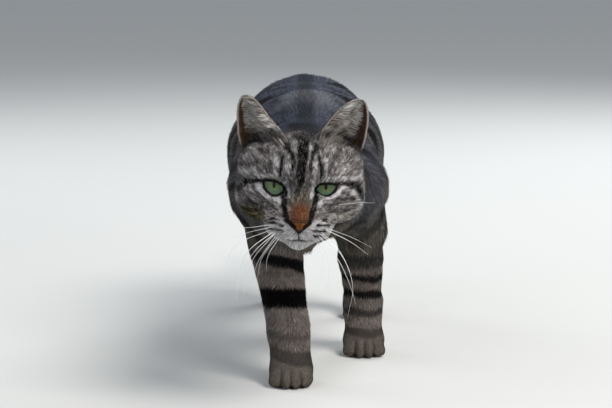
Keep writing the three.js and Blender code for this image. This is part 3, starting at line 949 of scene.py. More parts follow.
wing = sum(bell(flat, c, -29.9, 2.2, 1.5) for c in (-5.9, 7.5))
relief = dome + 0.35 * wing - 2.6 * pit - 0.5 * groove
leather_points = laid + (relief * MM)[:, None] * EYE_FRONT
leather = Board("nose_leather", 0.62, Specular_IOR_Level=0.12)
pebble = leather.noise(leather.place(), 1500.0, 2.0)
tone = leather.noise(leather.place(), 420.0, 3.0)
warm = leather.mix(tone.ramp(0.35, 0.65), rgb(0.085, 0.028, 0.004), rgb(0.165, 0.062, 0.012))
edged = leather.mix(leather.number("dark"), warm, rgb(0.006, 0.005, 0.005))
leather.set("Base Color", edged)
leather.bump(pebble, 0.5, 0.0003)
nose_faces = grid_faces(len(shares), len(dense), True)
nose = mesh_object("nose_leather", leather_points, nose_faces, leather.material)
edge_gap, _ = to_loop(flat, NOSE_LOOP)
# The dark rim of the leather is its own colour; the black in the nostril pits and along the groove is painted
# shade.
dark = np.maximum(pit, ramp(-2.4, -1.0, edge_gap) * ramp(-24.5, -27.0, flat[:, 1]))
dark = np.maximum(dark, ramp(4.6, 6.6, np.abs(flat[:, 0] - 0.8)))
dark = np.maximum(dark, 0.75 * groove)
top_edge = [[(-7, -25.9, 0.35), (0.8, -26.3, 0.3), (8.6, -25.9, 0.35)]]
dark = np.maximum(dark, 0.8 * drawn(flat, top_edge, 0.7))
note(nose.data, "dark", dark)
facing(nose)
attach(nose, "root")
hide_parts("nose")
print("nose", len(nose.data.polygons), "faces")

# %% [markdown]
# ## Whiskers
# A whisker is one stiff hair, much thicker than the coat's. A bevelled curve would do; rings of points are
# as short to write and land in one mesh. Each whisker is a tapered tube along a smooth line through a few
# places seen from the front, given as across and up. It starts on the skin, swings a little forward and
# then back.

# %% Whiskers
WHISKERS = [
    [(-23.4, -31.9), (-38.7, -35.6), (-55.3, -42.4)],
    [(-24.9, -34.3), (-46.0, -44.4), (-54.6, -60.1), (-56.2, -80.2)],
    [(-23.3, -35.8), (-38.1, -50.3), (-45.0, -70.6), (-45.8, -89.1)],
    [(-21.7, -37.3), (-33.3, -54.7), (-38.8, -73.4), (-40.5, -87.4)],
    [(-20.1, -38.0), (-30.1, -57.7), (-34.1, -75.5)],
    [(-18.5, -38.8), (-27.2, -54.5), (-30.4, -71.5)],
    [(-20.9, -36.5), (-32.0, -48.5), (-44.4, -68.2)],
    [(-27.3, -30.6), (-40.4, -31.9), (-51.2, -30.0)],
    [(-16.9, -39.5), (-22.6, -52.8), (-23.6, -65.2)],
    [(20.6, -35.8), (35.1, -52.1), (43.7, -74.8), (40.7, -98.1)],
    [(18.4, -37.4), (31.3, -53.8), (41.2, -72.7), (46.5, -87.9)],
    [(16.9, -39.0), (23.7, -55.7), (24.5, -77.2)],
    [(24.3, -32.5), (40.0, -39.6), (54.2, -49.0)],
    [(26.6, -31.6), (41.4, -36.4), (57.1, -43.6)],
    [(22.1, -35.0), (32.6, -47.6), (42.5, -65.7)],
    [(35.1, -12.9), (46.5, -9.3), (58.0, -8.9)],
    [(15.4, -39.9), (19.7, -52.7), (20.9, -63.5)],
]
THICK = (2, 6, 9, 10, 12, 14)
THICK_R, THIN_R, TIP_R = 0.27, 0.17, 0.045
TUBE_SIDES = 6
whisker_look = Board("whisker", 0.35, Specular_IOR_Level=0.5)
whisker_look.set("Base Color", rgb(0.85, 0.84, 0.82))


def whisker_path(knots):
    """A smooth line from the skin through the knots of one whisker."""
    root_knot = (0.8 + 0.84 * (knots[0][0] - 0.8), knots[0][1] + 1.5)
    line = [to_head(on_skin([root_knot], skin_tree))[0]]
    for step, (a, b) in enumerate(knots[1:], 1):
        swing = -3.5 if step == 1 else 1.5 + 3.5 * (step - 1)
        line.append(from_view(a, b, line[0][1] + swing))
    line = from_head(np.array(line))
    ends = np.vstack([2 * line[0] - line[1], line, 2 * line[-1] - line[-2]])
    shares = [(k, t) for k in range(len(line) - 1) for t in np.linspace(0, 1, 9)[:8]]
    shares.append((len(line) - 2, 1.0))
    return np.array([curve(*ends[k : k + 4], t) for k, t in shares])


tube_points, tube_faces = [], []
angles = np.arange(TUBE_SIDES) / TUBE_SIDES * 2 * math.pi
for index, knots in enumerate(WHISKERS):
    path = whisker_path(knots)
    way = unit(np.gradient(path, axis=0))
    one = unit(np.cross(way, (0.0, 1.0, 0.3)))
    two = np.cross(way, one)
    radius = np.linspace(THICK_R if index in THICK else THIN_R, TIP_R, len(path)) * MM
    start = sum(len(p) for p in tube_points)
    rings = path[:, None] + radius[:, None, None] * (
        np.cos(angles)[None, :, None] * one[:, None] + np.sin(angles)[None, :, None] * two[:, None]
    )
    tube_points.append(rings.reshape(-1, 3))
    tube_faces += [tuple(start + i for i in f) for f in grid_faces(len(path), TUBE_SIDES, True)]
whiskers = mesh_object("whiskers", np.concatenate(tube_points), tube_faces, whisker_look.material)
facing(whiskers)
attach(whiskers, "root")
print("whiskers", len(WHISKERS))

# %% [markdown]
# ## Markings
# A tabby's pattern lies in the coat, so skin and hairs have to agree on it. An image laid over the animal
# would do that from one side only. Here one set of rules gives the colour at any place: how much black,
# white, tan and rust there is. The face's lines are strokes on the front view (across, up, half width,
# in millimetres), the body's are bands that a noise bends. Some of the black and white is painted shade
# and painted light rather than pattern, and is marked as such where it is used.
#
# A warning to whoever learns from this file: the lists from FOREHEAD to GREY_LINES, PAD_SPOTS and the
# WHISKERS above are numbers converted from measured places, most of them by a separate program. A script
# should work such places out from a few named sizes, as mirrored pairs in a loop.

# %% Markings
FOREHEAD = [
    [
        (-13.4, 47.6, 1.7), (-12.2, 36.9, 2.5), (-10.4, 29.3, 2), (-7.9, 24.8, 1.4),
        (-5.4, 18.7, 1.3), (-5.9, 12.5, 1.2), (-6.5, 7.9, 0.7),
    ],
    [
        (10.5, 47, 1.8), (10.8, 37.8, 2.5), (11.9, 30.1, 2), (9, 24.6, 1.5),
        (7.7, 18.4, 1.3), (7.2, 13, 1.2), (7.3, 9.2, 0.6),
    ],
    [
        (-1.1, 48.1, 3.5), (0.8, 39, 4.8), (1.1, 30.5, 4.8), (0.6, 23.5, 4),
        (0.8, 18.2, 3.5), (0.3, 12.8, 3.8), (0.5, 6.6, 3.4), (-0.1, 1.2, 2),
    ],
    [(-15.6, 24.5, 0.6), (-13.8, 19.1, 1.2), (-14.4, 13.7, 1.5), (-15, 9.1, 1.3)],
    [(13.7, 24.1, 0.6), (13.9, 17.9, 1.1), (14.9, 12.6, 1.2), (15.8, 8, 1)],
    [(-40.7, 35.8, 0.7), (-36, 35.2, 1), (-30.6, 34.7, 0.8), (-27.4, 30.9, 0.5)],
    [(-35.8, -10.2, 0.8), (-33.4, -12.4, 1.1), (-30.3, -13.8, 0.8)],
    [(-2.4, 1.9, 0.5), (-1.5, -1.2, 0.6), (-2.9, -4.3, 0.4)],
    [(2.2, 3.6, 0.5), (3.1, -1, 0.6), (2.5, -4.9, 0.4)],
]
FOREHEAD_FAINT = [
    [(-18.4, 38.2, 0.8), (-17.4, 32.1, 1.2), (-15.7, 27.5, 0.8)],
    [(15.5, 38, 0.8), (14.9, 32.6, 0.9), (15.8, 28, 0.6)],
    [(-23.9, 21.1, 0.6), (-22.9, 15.7, 1.2), (-22, 10.4, 1)],
    [(23, 21.3, 0.5), (22.5, 15.9, 1.2), (21.9, 10.5, 1.2)],
    [(-30.4, 28.5, 0.6), (-27.1, 24, 0.8), (-25.4, 20.2, 0.6)],
    [(29.6, 30.8, 0.6), (26.7, 26.1, 0.9), (25.3, 22.2, 0.6)],
    [(34.3, 27.9, 0.5), (33.7, 23.3, 0.8)],
    [(-35.6, 24.5, 0.6), (-33.8, 18.4, 0.9), (-32.1, 13.1, 0.7)],
    [(-40.1, 22, 0.8), (-40.7, 15.8, 1.1), (-42.8, 11.1, 0.9)],
    [(42.6, 32.9, 1.2), (43.6, 26.7, 1.4), (43.1, 20.6, 1.1)],
    [(-44.3, 29.5, 1.2), (-44.8, 23.3, 1.4), (-46.1, 16.4, 1.1)],
    [(-34.5, -3.2, 0.6), (-30.6, -6.1, 0.8), (-25.8, -9, 0.7)],
    [(-41.3, -7.3, 0.8), (-38.1, -10.3, 0.9), (-35.6, -14.8, 0.8)],
    [(-42.5, -15.1, 0.8), (-36.3, -17.1, 1.2), (-28.6, -18.4, 0.9), (-23.9, -20.5, 0.6)],
    [(-24.2, -12, 0.6), (-19.5, -14.2, 0.8), (-15.5, -17.9, 0.6)],
    [(-25.6, -15.2, 0.5), (-21.6, -18.1, 0.8), (-18.4, -21.8, 0.7)],
    [(17.3, -10.5, 0.7), (21.9, -8.7, 0.8), (28, -7, 0.9), (32.6, -8.3, 0.7)],
    [(19, -13.5, 0.6), (23.6, -12.5, 0.8), (29.7, -11.5, 0.8)],
    [(21.4, -16.5, 0.7), (26.1, -17.8, 0.9), (31.4, -16.8, 0.8), (36.7, -14.3, 0.6)],
    [(31.6, -2.2, 0.5), (35.6, -4.4, 0.8), (38.8, -7.3, 0.6)],
]
EAR_FOLDS = [
    [(47.7, 40.8, 0.9), (49.5, 34.7, 1.3), (49.7, 27.7, 1.4), (48.4, 21.5, 0.9)],
    [(-47.6, 37.1, 0.8), (-48.9, 30.9, 1.1), (-48.7, 24.7, 0.9)],
]
EYE_LINES = [
    [(-28.7, 4.7, 1), (-34, 3.7, 1.3), (-38.6, 2, 1.5), (-41.5, -1.2, 1.5), (-42.9, -5.1, 1.2)],
    [
        (28.3, 4.6, 0.8), (32.9, 4, 1.2), (37.6, 3.4, 1.7),
        (40.9, 0.4, 1.7), (42.8, -3.4, 1.6), (44.4, -7.4, 1.1),
    ],
    [
        (-12.3, -0, 1.1), (-11, -4.6, 1.7), (-10.8, -10, 1.9),
        (-11, -15.4, 1.7), (-10, -20.7, 1.8), (-7.5, -26.8, 1.4),
    ],
    [
        (12.7, 0.1, 0.9), (12.1, -3.7, 1.5), (11.5, -9.1, 1.8),
        (10.9, -14.5, 1.6), (9.2, -20, 1.7), (8.3, -25.4, 1.4),
    ],
]
WHITE_LINES = [
    [
        (-31.7, 2.3, 1.2), (-30.7, -1.5, 1.5), (-27.5, -5.2, 1.5), (-23.6, -8.2, 1.5),
        (-18.9, -9.9, 1.5), (-15, -10.5, 1.5), (-14.1, -14, 0.9),
    ],
    [
        (32.3, 1.7, 1.2), (29.3, -2.3, 1.5), (24.9, -6.3, 1.6),
        (20.3, -8.8, 1.7), (15.8, -10.5, 1.5), (14.7, -13.6, 1),
    ],
    [(-10.2, 3.9, 0.9), (-8.8, -1.4, 1.3), (-8.2, -7.6, 0.9)],
    [(9.8, 3.9, 0.9), (9.3, -1.5, 1.4), (8.7, -7.7, 1)],
]
GREY_LINES = [
    [(-10.1, 21.6, 1.1), (-9.8, 14.7, 1.8), (-9.6, 7.8, 1.5)],
    [(10.7, 22.4, 1), (10.9, 15.5, 1.5), (12, 8.6, 1.5)],
    [(-6.4, 44.8, 0.8), (-6.8, 37.1, 1), (-6.6, 31, 0.8), (-3.2, 23.4, 0.8), (-2.3, 19.6, 0.5)],
    [(6, 43.8, 0.9), (6.3, 36.1, 0.7), (7.3, 30.7, 1.2), (6, 24.5, 0.8), (4.6, 19.1, 0.5)],
    [(-2.3, 18.8, 0.5), (-3.3, 14.9, 0.5), (-4.3, 11, 0.4)],
    [(-19.4, 22.8, 1.2), (-19.1, 15.9, 1.7), (-18.8, 8.9, 1.4)],
    [(17.6, 22.7, 1), (18.6, 16.5, 1.6), (18.9, 8.9, 1.4)],
    [(-39.8, 33.5, 0.9), (-35.9, 32.2, 1.7), (-31.2, 29.3, 0.9)],
    [(-26.1, 37.9, 0.8), (-23.6, 32.6, 1.2), (-21.1, 27.3, 0.9)],
    [(23.9, 37.5, 0.8), (22.6, 32.9, 1.1), (20.5, 28.2, 0.9)],
    [(32.5, 36.3, 1.2), (36.5, 32.6, 1.4), (38.9, 28.1, 0.9)],
    [(-41.9, 7.3, 0.9), (-32.7, 8.4, 1.2), (-23.4, 8.8, 1.1), (-14.2, 7.6, 0.9)],
    [(17.4, 7.3, 0.9), (26.6, 8.4, 1.2), (35.9, 8, 1.2), (44.4, 5.2, 1.1)],
    [(-44.4, -7.4, 1.4), (-43.4, -12.8, 1.7), (-40.9, -18.1, 1.2)],
    [(44.1, -7.1, 1.7), (42.8, -13.3, 1.7), (39.2, -18.1, 1.2)],
    [(-40, -1.9, 0.8), (-36.8, -4.1, 1), (-38.2, -7.2, 0.7)],
    [(33.8, 1, 0.9), (37.8, -2, 1.2), (41, -5.7, 0.9)],
]
# Dark strokes at the foot of each ear cup: partly dark hair, partly painted shade in the hollow.
EAR_BASES = [
    [(-43.5, 38.5, 2.2), (-37, 36.4, 2.0), (-31, 36.2, 1.2), (-26, 38.0, 0.4)],
    [(47.0, 37.5, 2.2), (40, 36.8, 2.0), (33, 37.4, 1.2), (28, 39.5, 0.4)],
    [(-21, 40, 0.5), (-18.5, 44.5, 1.0), (-15, 49, 0.8)],
    [(23, 41.5, 0.5), (20.5, 46, 1.0), (17.5, 50, 0.8)],
]
PAD_SPOTS = [
    [(-19.9, -24.6, 0.8), (-17.9, -24.1, 0.9)],
    [(-20.5, -27.3, 0.6), (-17.4, -27.6, 0.7), (-14.3, -28.6, 0.5)],
    [(-12.7, -29.3, 0.5), (-10.4, -30, 0.5)],
    [(-23.5, -30.5, 0.6), (-20.4, -31.1, 0.7), (-16.5, -31.8, 0.5)],
    [(-14.9, -32.5, 0.5), (-11.1, -33.1, 0.5)],
    [(-24.8, -35.2, 0.4), (-20.9, -36.6, 0.5), (-17.1, -37.2, 0.4)],
    [(17.1, -24.7, 0.7), (19.4, -24.2, 0.9)],
    [(12.6, -28.7, 0.7), (14.9, -28.2, 0.8)],
    [(17.2, -28.2, 0.6), (21.8, -27.2, 0.7)],
    [(10.5, -32.7, 0.5), (13.5, -32.2, 0.5)],
    [(15.1, -32.1, 0.5), (18.9, -31.9, 0.5)],
    [(11.4, -35.7, 0.5), (16, -35.5, 0.5), (20.6, -35, 0.5)],
]
# Painted shade as dark ovals (across, up, width, height, strength): the edges of the head where it turns
# away, and the lower cheeks, mostly on the cat's right, away from the main lamp.
PAINTED_SHADES = [
    (-34, -10.5, 12, 7.5, 0.45), (31.5, -13, 11, 6.5, 0.18), (-23, -13, 7, 5, 0.50), (23, -14, 8, 5, 0.52),
    (-6, -5, 5, 7, 0.42), (-43, 28, 6, 9, 0.66), (-46, -1, 6, 9, 0.60), (42, 27, 5, 9, 0.55),
]
LIPS = [(0.8, -38, 11, 4, 1.3, 0.5), (1, -46, 11, 6, 1.2, 0.6)]
PADS = [(-14.0, -33.2, 13.5, 7.2, 0.68), (15.8, -32.0, 13.5, 7.2, 0.7), (1.5, -45.5, 13.5, 8.5, 0.68)]
LEG_MIDDLES = {"front_left": 50, "front_right": -14, "hind_left": 50, "hind_right": -27}
LEG_BANDS = {
    "front_right": [(92, 4.6, 0.28, 0.97), (66.5, 7.6, 0.05, 1.0), (41, 2.4, 0.1, 0.4), (24, 5.5, 0.2, 0.55)],
    "front_left": [
        (88, 5.6, 0.05, 0.97), (70, 3.8, 0.05, 0.95), (54, 3.8, 0.05, 0.95), (38, 2.8, 0.0, 0.7),
        (21, 3.2, 0.1, 0.55),
    ],
    "hind_right": [
        (112, 4.8, 0.1, 0.9), (94, 4.4, 0.1, 0.9), (76, 3.8, 0.0, 0.9),
        (57, 3.4, 0.0, 0.9), (38, 3.0, 0.0, 0.8),
    ],
    "hind_left": [
        (110, 4.8, 0.1, 0.9), (92, 4.4, 0.1, 0.9), (74, 3.8, 0.0, 0.9),
        (55, 3.4, 0.0, 0.9), (37, 3.0, 0.0, 0.8),
    ],
}

# %% [markdown]
# ## Along the tail
# The rings of the tail and its hairs need to know how far along it a place is and which way it runs. A
# line of middles through slices of its solids tells both.

# %% Along the tail
TAIL_SLICES = 18
TAIL = ("tail_base", "tail_middle", "tail_tip")
tail_mesh = np.concatenate([points_of(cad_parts[name].data) for name in TAIL])
tail_cuts = np.linspace(tail_mesh[:, 1].min() - 1e-6, tail_mesh[:, 1].max() + 1e-6, TAIL_SLICES + 1)
tail_line = []
for low, high in zip(tail_cuts, tail_cuts[1:]):
    inside = tail_mesh[(tail_mesh[:, 1] >= low) & (tail_mesh[:, 1] < high)]
    if len(inside):
        tail_line.append((inside.min(axis=0) + inside.max(axis=0)) / 2)
tail_line = np.array(tail_line)
tail_steps = np.linalg.norm(np.diff(tail_line, axis=0), axis=1)
tail_reach = np.concatenate([[0], np.cumsum(tail_steps)])


def along_tail(points):
    """How far along the tail points are, in metres, and which way the tail runs there."""
    away = np.linalg.norm(points[:, None, :] - tail_line[None], axis=2)
    nearest = np.clip(away.argmin(axis=1), 1, len(tail_line) - 2)
    way = unit(tail_line[nearest + 1] - tail_line[nearest - 1])
    return tail_reach[nearest] + ((points - tail_line[nearest]) * way).sum(axis=1), way


# %% [markdown]
# ## The pattern at a place
# Each part of the body gives its own masks, from 0 to 1, and the strongest wins.

# %% The pattern at a place


def most(*masks):
    """The strongest of several masks at each place."""
    return np.maximum.reduce(masks)


def nearest_leg(points):
    """The leg each point belongs to by its place, counted as in LEG_MIDDLES."""
    front = points[:, 1] < -0.02
    right = points[:, 0] < np.where(front, 0.018, 0.012)
    return np.where(front, np.where(right, 1, 0), np.where(right, 3, 2))


def face_marks(head, view, bent, ear):
    """Black, white, tan and rust on the head. bent is the front view, a little ragged."""
    front = ramp(48, 30, head[:, 1])
    # Tan patches on the lower cheeks, tan being the fur's own colour. The one on the cat's right, under the
    # cheek and away from the main lamp, is darkened with painted shade; the one on its left is lightened with
    # painted light.
    tan, pale = [ramp(1.35, 0.7, oval(bent, middle, -21.5, 9.5, 7)) for middle in (-35.0, 36.5)]
    lines = most(
        drawn(bent, FOREHEAD, 0.8, 0.12),
        0.7 * drawn(bent, FOREHEAD_FAINT, 1.0),
        drawn(bent, EYE_LINES, 0.7, 0.3),
        0.97 * drawn(view, PAD_SPOTS, 0.45, 0.3),
        drawn(view, MOUTH, 0.8) * ramp(11, 3, np.abs(view[:, 0])),
        # painted shade on the tan patch of the right cheek
        0.56 * tan,
        # painted shade where the face turns away from the light
        *[much * ramp(1.3, 0.5, oval(bent, *place)) for *place, much in PAINTED_SHADES],
        0.8 * bell(bent, 0, 1, 9.5, 12) * front,
    )
    white = most(
        drawn(bent, WHITE_LINES, 0.8, 0.25),
        0.42 * drawn(bent, GREY_LINES, 1.0),
        0.75 * drawn(bent, EAR_FOLDS, 1.2),
        *[much * ramp(1.18, 0.82, oval(view, *place)) for *place, much in PADS],
        *[0.95 * ramp(out, into, oval(view, *place)) for *place, out, into in LIPS],
        # painted light on the tan patch of the left cheek
        0.38 * pale,
    )
    crown = 0.97 * bell(view, 6, 40.5, 24, 8.5) * ramp(78, 62, head[:, 1])
    nape = ramp(34, 46, head[:, 1]) * ramp(16, 6, np.abs(head[:, 0])) * ramp(0, 14, head[:, 2])
    # Dark hair and painted shade at the foot of the ears.
    low_ear = 0.8 * drawn(bent, EAR_BASES, 1.4) * ramp(40, 30, head[:, 1])
    black = most(most(lines * front, crown, 0.8 * nape) * (1 - 0.5 * ear), low_ear)
    white = white * front * (1 - 0.9 * black) * (1 - ear)
    tan = most(tan, pale, 0.5 * ramp(1.3, 0.7, oval(bent, 0.9, -11, 9, 8))) * front
    rust = ramp(1.3, 0.35, oval(bent, 0.9, -21.0, 10.5, 11.0)) * front
    return black, white, tan, rust


def leg_bands(points, bend, ragged):
    """The dark bands round the legs."""
    x, _, z = points.T / MM
    leg = nearest_leg(points)
    bands = np.zeros(len(points))
    for index, (key, middle) in enumerate(LEG_MIDDLES.items()):
        for height, half, slant, depth in LEG_BANDS[key]:
            level = z + slant * (x - middle) + 4.0 * bend + 1.4 * ragged - height
            band = depth * ramp(half + 1.3, half - 1.3, np.abs(level))
            bands = np.where(leg == index, np.maximum(bands, band), bands)
    return bands


def tail_rings(points, bend):
    """The rings of the tail and its dark tip."""
    reach, _ = along_tail(points)
    rings = ramp(0.05, 0.6, np.sin(reach / 0.024 * 2 * math.pi + 1.5 * bend)) * 0.85
    return np.maximum(rings, 0.9 * ramp(tail_reach[-1] - 0.035, tail_reach[-1] - 0.02, reach))


def back_stripes(points, bend):
    """Stripes down the flanks, a line along the spine and dark marks on shoulders and nape."""
    x, y, z = points.T / MM
    wave = y / 25.0 + 0.9 * bend + 0.25 * np.sin(z / 30.0) + 0.012 * z
    stripe = ramp(0.0, 0.6, np.sin(wave * 2 * math.pi)) * ramp(8, 26, np.abs(x)) * ramp(70, 115, z)
    spine = ramp(9, 4, np.abs(x) + 5 * bend) * ramp(185, 205, z)
    stripe = np.maximum(stripe * (0.6 + 0.9 * (noise(points, 0.03, 4) - 0.3)), 0.55 * spine)
    pair = np.stack([np.abs(x + 2), y], axis=1)
    shoulder = bell(pair, 20, -95, 10, 16) * ramp(175, 200, z)
    nape = ramp(20, 8, np.abs(x)) * ramp(170, 190, z) * ramp(-185, -225, y)
    return np.clip(most(0.85 * stripe, 0.75 * shoulder, 0.75 * nape), 0, 1)


def markings(points, shares, normals):
    """Shares of black, white, tan and rust in the coat at points of the skin."""
    masks = np.zeros((4, len(points)))
    bend = noise(points, 0.014, 1) - 0.5
    ragged = noise(points, 0.0035, 2) - 0.5
    x, y, z = points.T / MM
    head, view = to_head(points), face_view(points)
    ear, _, neck, body, upper, lower, paw, tail = shares.T
    f = np.flatnonzero(shares[:, 1] + ear > 0.02)
    bent = view[f] + 0.9 * np.stack([ragged[f], bend[f]], axis=1)
    masks[:, f] = face_marks(head[f], view[f], bent, ear[f])
    black, white, tan, rust = masks
    trunk = neck + body + upper
    legs = np.clip(lower + paw + 0.8 * upper * ramp(150, 110, z), 0, 1)
    black = most(
        black,
        0.45 * ear * ramp(-0.15, 0.35, normals[:, 1]) * ramp(30, 44, head[:, 2]),
        trunk * back_stripes(points, bend),
        leg_bands(points, bend, ragged) * legs,
        # painted shade in the furrows between the toes
        0.55 * toe_gaps(points, 0.7) * ramp(0.2, 0.6, paw),
        tail * tail_rings(points, bend),
    )
    chest = ramp(150, 120, z) * ramp(-130, -190, y) * (body + neck)
    saddle = trunk * bell(np.stack([x, y], axis=1), 0, -140, 26, 22) * ramp(175, 195, z)
    # Painted light: a paler patch low on the cat's left side near the shoulder, where the lamp falls.
    lit = bell(np.stack([x, z], axis=1), 48, 138, 14, 26) * ramp(-60, -110, y)
    white = most(white, 0.15 * saddle, 0.14 * trunk * lit, 0.10 * chest)
    flank = np.maximum(ramp(0.65, 0.92, np.abs(normals[:, 0])), ramp(165, 108, z))
    flank = flank * (0.34 * neck + 0.38 * body + 0.55 * upper)
    belly = 0.5 * (ramp(112, 92, z) * body)
    sock = 0.35 * (paw * ramp(24, 10, z))
    tan = most(tan, belly, 0.9 * chest, flank, 0.35 * tail, sock)
    return black, white, tan, rust


# The neck, trunk, upper legs and tail carry a blue cast that is painted sky light; the cat's own ground there
# is grey-brown.
COLOURS = {
    "face": (0.165, 0.152, 0.147),
    "ear": (0.105, 0.085, 0.072),
    "neck": (0.045, 0.050, 0.070),
    "trunk": (0.060, 0.066, 0.088),
    "upper": (0.078, 0.079, 0.096),
    "lower": (0.185, 0.158, 0.142),
    "paw": (0.175, 0.152, 0.138),
    "tail": (0.080, 0.081, 0.096),
}
GROUND = np.array([COLOURS[name] for name in GROUPS])
BLACK, WHITE = np.array([0.0026, 0.0024, 0.0027]), np.array([0.60, 0.58, 0.59])
TAN, RUST = np.array([0.118, 0.096, 0.048]), np.array([0.125, 0.041, 0.013])


def coat_colour(shares, masks):
    """The colour of the coat from the shares of the body's parts and the pattern."""
    black, white, tan, rust = [m[:, None] for m in masks]
    ground = shares @ GROUND
    ground = blend(ground, TAN, np.clip(tan, 0, 1) * 0.88)
    ground = blend(ground, RUST, np.clip(rust, 0, 1) * 0.9)
    ground = blend(ground, WHITE, np.clip(white, 0, 1))
    return blend(ground, BLACK, np.clip(black, 0, 1))


# %% [markdown]
# ## Colour of the skin
# The skin under the coat takes the same markings, darker, so that a gap between hairs doesn't show. In the
# cup of the ear it is nearly bare and red-brown, at the lids black, and the edge of the ear is pale.

# %% Colour of the skin
CUP_SKIN = np.array([0.045, 0.017, 0.007])
LID_SKIN = np.array([0.012, 0.010, 0.010])
EAR_EDGE = np.array([0.33, 0.29, 0.26])
points, normals, edges = points_of(skin.data), normals_of(skin.data), edges_of(skin.data)
weights = relax(weights, edges, np.full(len(points), 0.5), 3)
head, view = to_head(points), face_view(points)
masks = markings(points, weights, normals)
skin_colour = coat_colour(weights, masks) * 0.75
cup = weights[:, 0] * ramp(0.1, -0.35, normals @ HEAD_Y) * ramp(17, 24, head[:, 2])
skin_colour = blend(skin_colour, CUP_SKIN, 0.95 * cup[:, None])
skin_colour = blend(skin_colour, LID_SKIN, ramp(2.2, 1.2, lid_gap)[:, None])

# %% [markdown]
# ## Edges of the ears
# The edge of an ear is found rather than drawn: it is the convex outline of the ear as it shows from the
# front, and only its foremost skin counts, so that the back of the ear stays dark.

# %% Edges of the ears
SIDES = (-1, 1)
TURNS = 48


def hull_line(at):
    """The convex outline of flat points."""
    order = at[np.lexsort((at[:, 1], at[:, 0]))]
    out = []
    for run in (order, order[::-1]):
        side = []
        for p in run:
            while len(side) > 1:
                (ax, ay), (bx, by) = side[-2], side[-1]
                if (bx - ax) * (p[1] - ay) - (by - ay) * (p[0] - ax) > 0:
                    break
                side.pop()
            side.append(p)
        out += side[:-1]
    return np.array(out)


def ear_rim(points, shares):
    """How near points are to the edge of an ear as it shows from the front."""
    out = np.zeros(len(points))
    at = face_view(points)
    for sign in SIDES:
        mine = np.flatnonzero((shares[:, 0] > 0.3) & (at[:, 0] * sign > 0))
        gap, _ = to_loop(at[mine], RIM_LINES[sign])
        share = ramp(-1.7, -0.7, gap) * ramp(30, 36, at[mine, 1])
        if sign in RIM_FRONTS:
            around, deep = RIM_FRONTS[sign]
            ahead = np.interp(ear_angle(at[mine], sign), around, deep)
            share *= ramp(ahead + 2.0, ahead + 1.0, to_head(points[mine])[:, 1])
        out[mine] = share
    return out


def ear_angle(at, sign):
    """Which way points lie from the middle of an ear, seen from the front."""
    middle = RIM_LINES[sign].mean(axis=0)
    return np.arctan2(at[:, 1] - middle[1], at[:, 0] - middle[0])


RIM_LINES = {}
for sign in SIDES:
    RIM_LINES[sign] = hull_line(view[(weights[:, 0] > 0.5) & (view[:, 0] * sign > 0)])
RIM_FRONTS = {}
skin_rim = ear_rim(points, weights)
bins = np.linspace(-math.pi, math.pi, TURNS + 1)
for sign in SIDES:
    mine = (skin_rim > 0.4) & (view[:, 0] * sign > 0)
    place = np.digitize(ear_angle(view[mine], sign), bins)
    full = [k for k in range(1, TURNS + 1) if (place == k).sum() > 2]
    RIM_FRONTS[sign] = (
        np.array([(bins[k - 1] + bins[k]) / 2 for k in full]),
        np.array([np.percentile(to_head(points[mine][place == k])[:, 1], 3) for k in full]),
    )
skin_rim = ear_rim(points, weights)
skin_colour = blend(skin_colour, EAR_EDGE, 0.8 * skin_rim[:, None])


def paint(mesh, name, colours):
    """Keeps a colour at each point for a material to read."""
    layer = mesh.color_attributes.new(name, "FLOAT_COLOR", "POINT")
    rgba = np.concatenate([colours, np.ones((len(colours), 1))], axis=1)
    layer.data.foreach_set("color", rgba.astype(np.float32).ravel())


paint(skin.data, "coat", skin_colour)
skin_look = Board("skin", 0.75, Specular_IOR_Level=0.2)
skin_look.set("Base Color", skin_look.colour("coat"))
skin_look.bump(skin_look.noise(skin_look.place(), 900.0, 3.0), 0.4, 0.0006)
skin.data.materials.clear()
skin.data.materials.append(skin_look.material)
skin.data.shade_smooth()

# %% [markdown]
# ## Lie of the coat
# On the face the hair grows away from the nose, on the ears towards their tips, on the trunk backwards
# and a little down, down the legs, forward on the paws and along the tail. Combing guide curves by hand
# would do it too, but a rule for each part of the body is shorter and reaches every hair.

# %% Lie of the coat


def lie_of(points, shares, normals):
    """The way the hair lies at points of the skin."""
    head = to_head(points)
    from_nose = head - np.array([0.5, -38.0, -24.0])
    from_nose[:, 1] *= 0.55
    brow = np.exp(-(((head[:, 2] - 9) / 7) ** 2)) * ramp(6, 14, np.abs(head[:, 0]))
    from_nose[:, 2] += 22 * brow
    from_nose[:, 2] -= 10 * ramp(12, 24, np.abs(head[:, 0])) * ramp(0, -14, head[:, 2])
    face = unit(from_nose) @ np.stack([HEAD_X, HEAD_Y, HEAD_Z])
    sign = np.sign(head[:, :1])
    ear = unit(np.concatenate([sign * 0.35, np.full_like(sign, 0.2), np.full_like(sign, 1.0)], axis=1))
    outer = np.sign(points[:, :1])
    trunk = unit(np.concatenate([0 * outer, np.full_like(outer, 1.0), np.full_like(outer, -0.35)], axis=1))
    breast = ramp(-150, -200, points[:, 1] / MM) * ramp(165, 130, points[:, 2] / MM)
    trunk = unit(trunk + breast[:, None] * np.array([0, -0.4, -1.6]))
    upper = np.broadcast_to(unit(np.array([0.0, 0.45, -1.0])), points.shape)
    lower = np.broadcast_to(unit(np.array([0.0, 0.12, -1.0])), points.shape)
    paw = np.broadcast_to(unit(np.array([0.0, -1.0, -0.45])), points.shape)
    _, tail = along_tail(points)
    ways = np.stack([ear, face, trunk, trunk, upper, lower, paw, tail], axis=1)
    way = (ways * shares[:, :, None]).sum(axis=1)
    ends = (ramp(0.25, 0.85, (tail * normals).sum(axis=1)) * shares[:, 7])[:, None]
    way -= (1 - 0.85 * ends) * (way * normals).sum(axis=1, keepdims=True) * normals
    way += 0.35 * ends * unit(tail_line[-1] - points)
    return unit(way)


# %% [markdown]
# ## Places for tufts
# Roots are spread over the skin's triangles at random, by a density for each part of the body. Each also
# gets the place of its root on an unwrap of the skin, so that colours can be baked tuft by tuft.

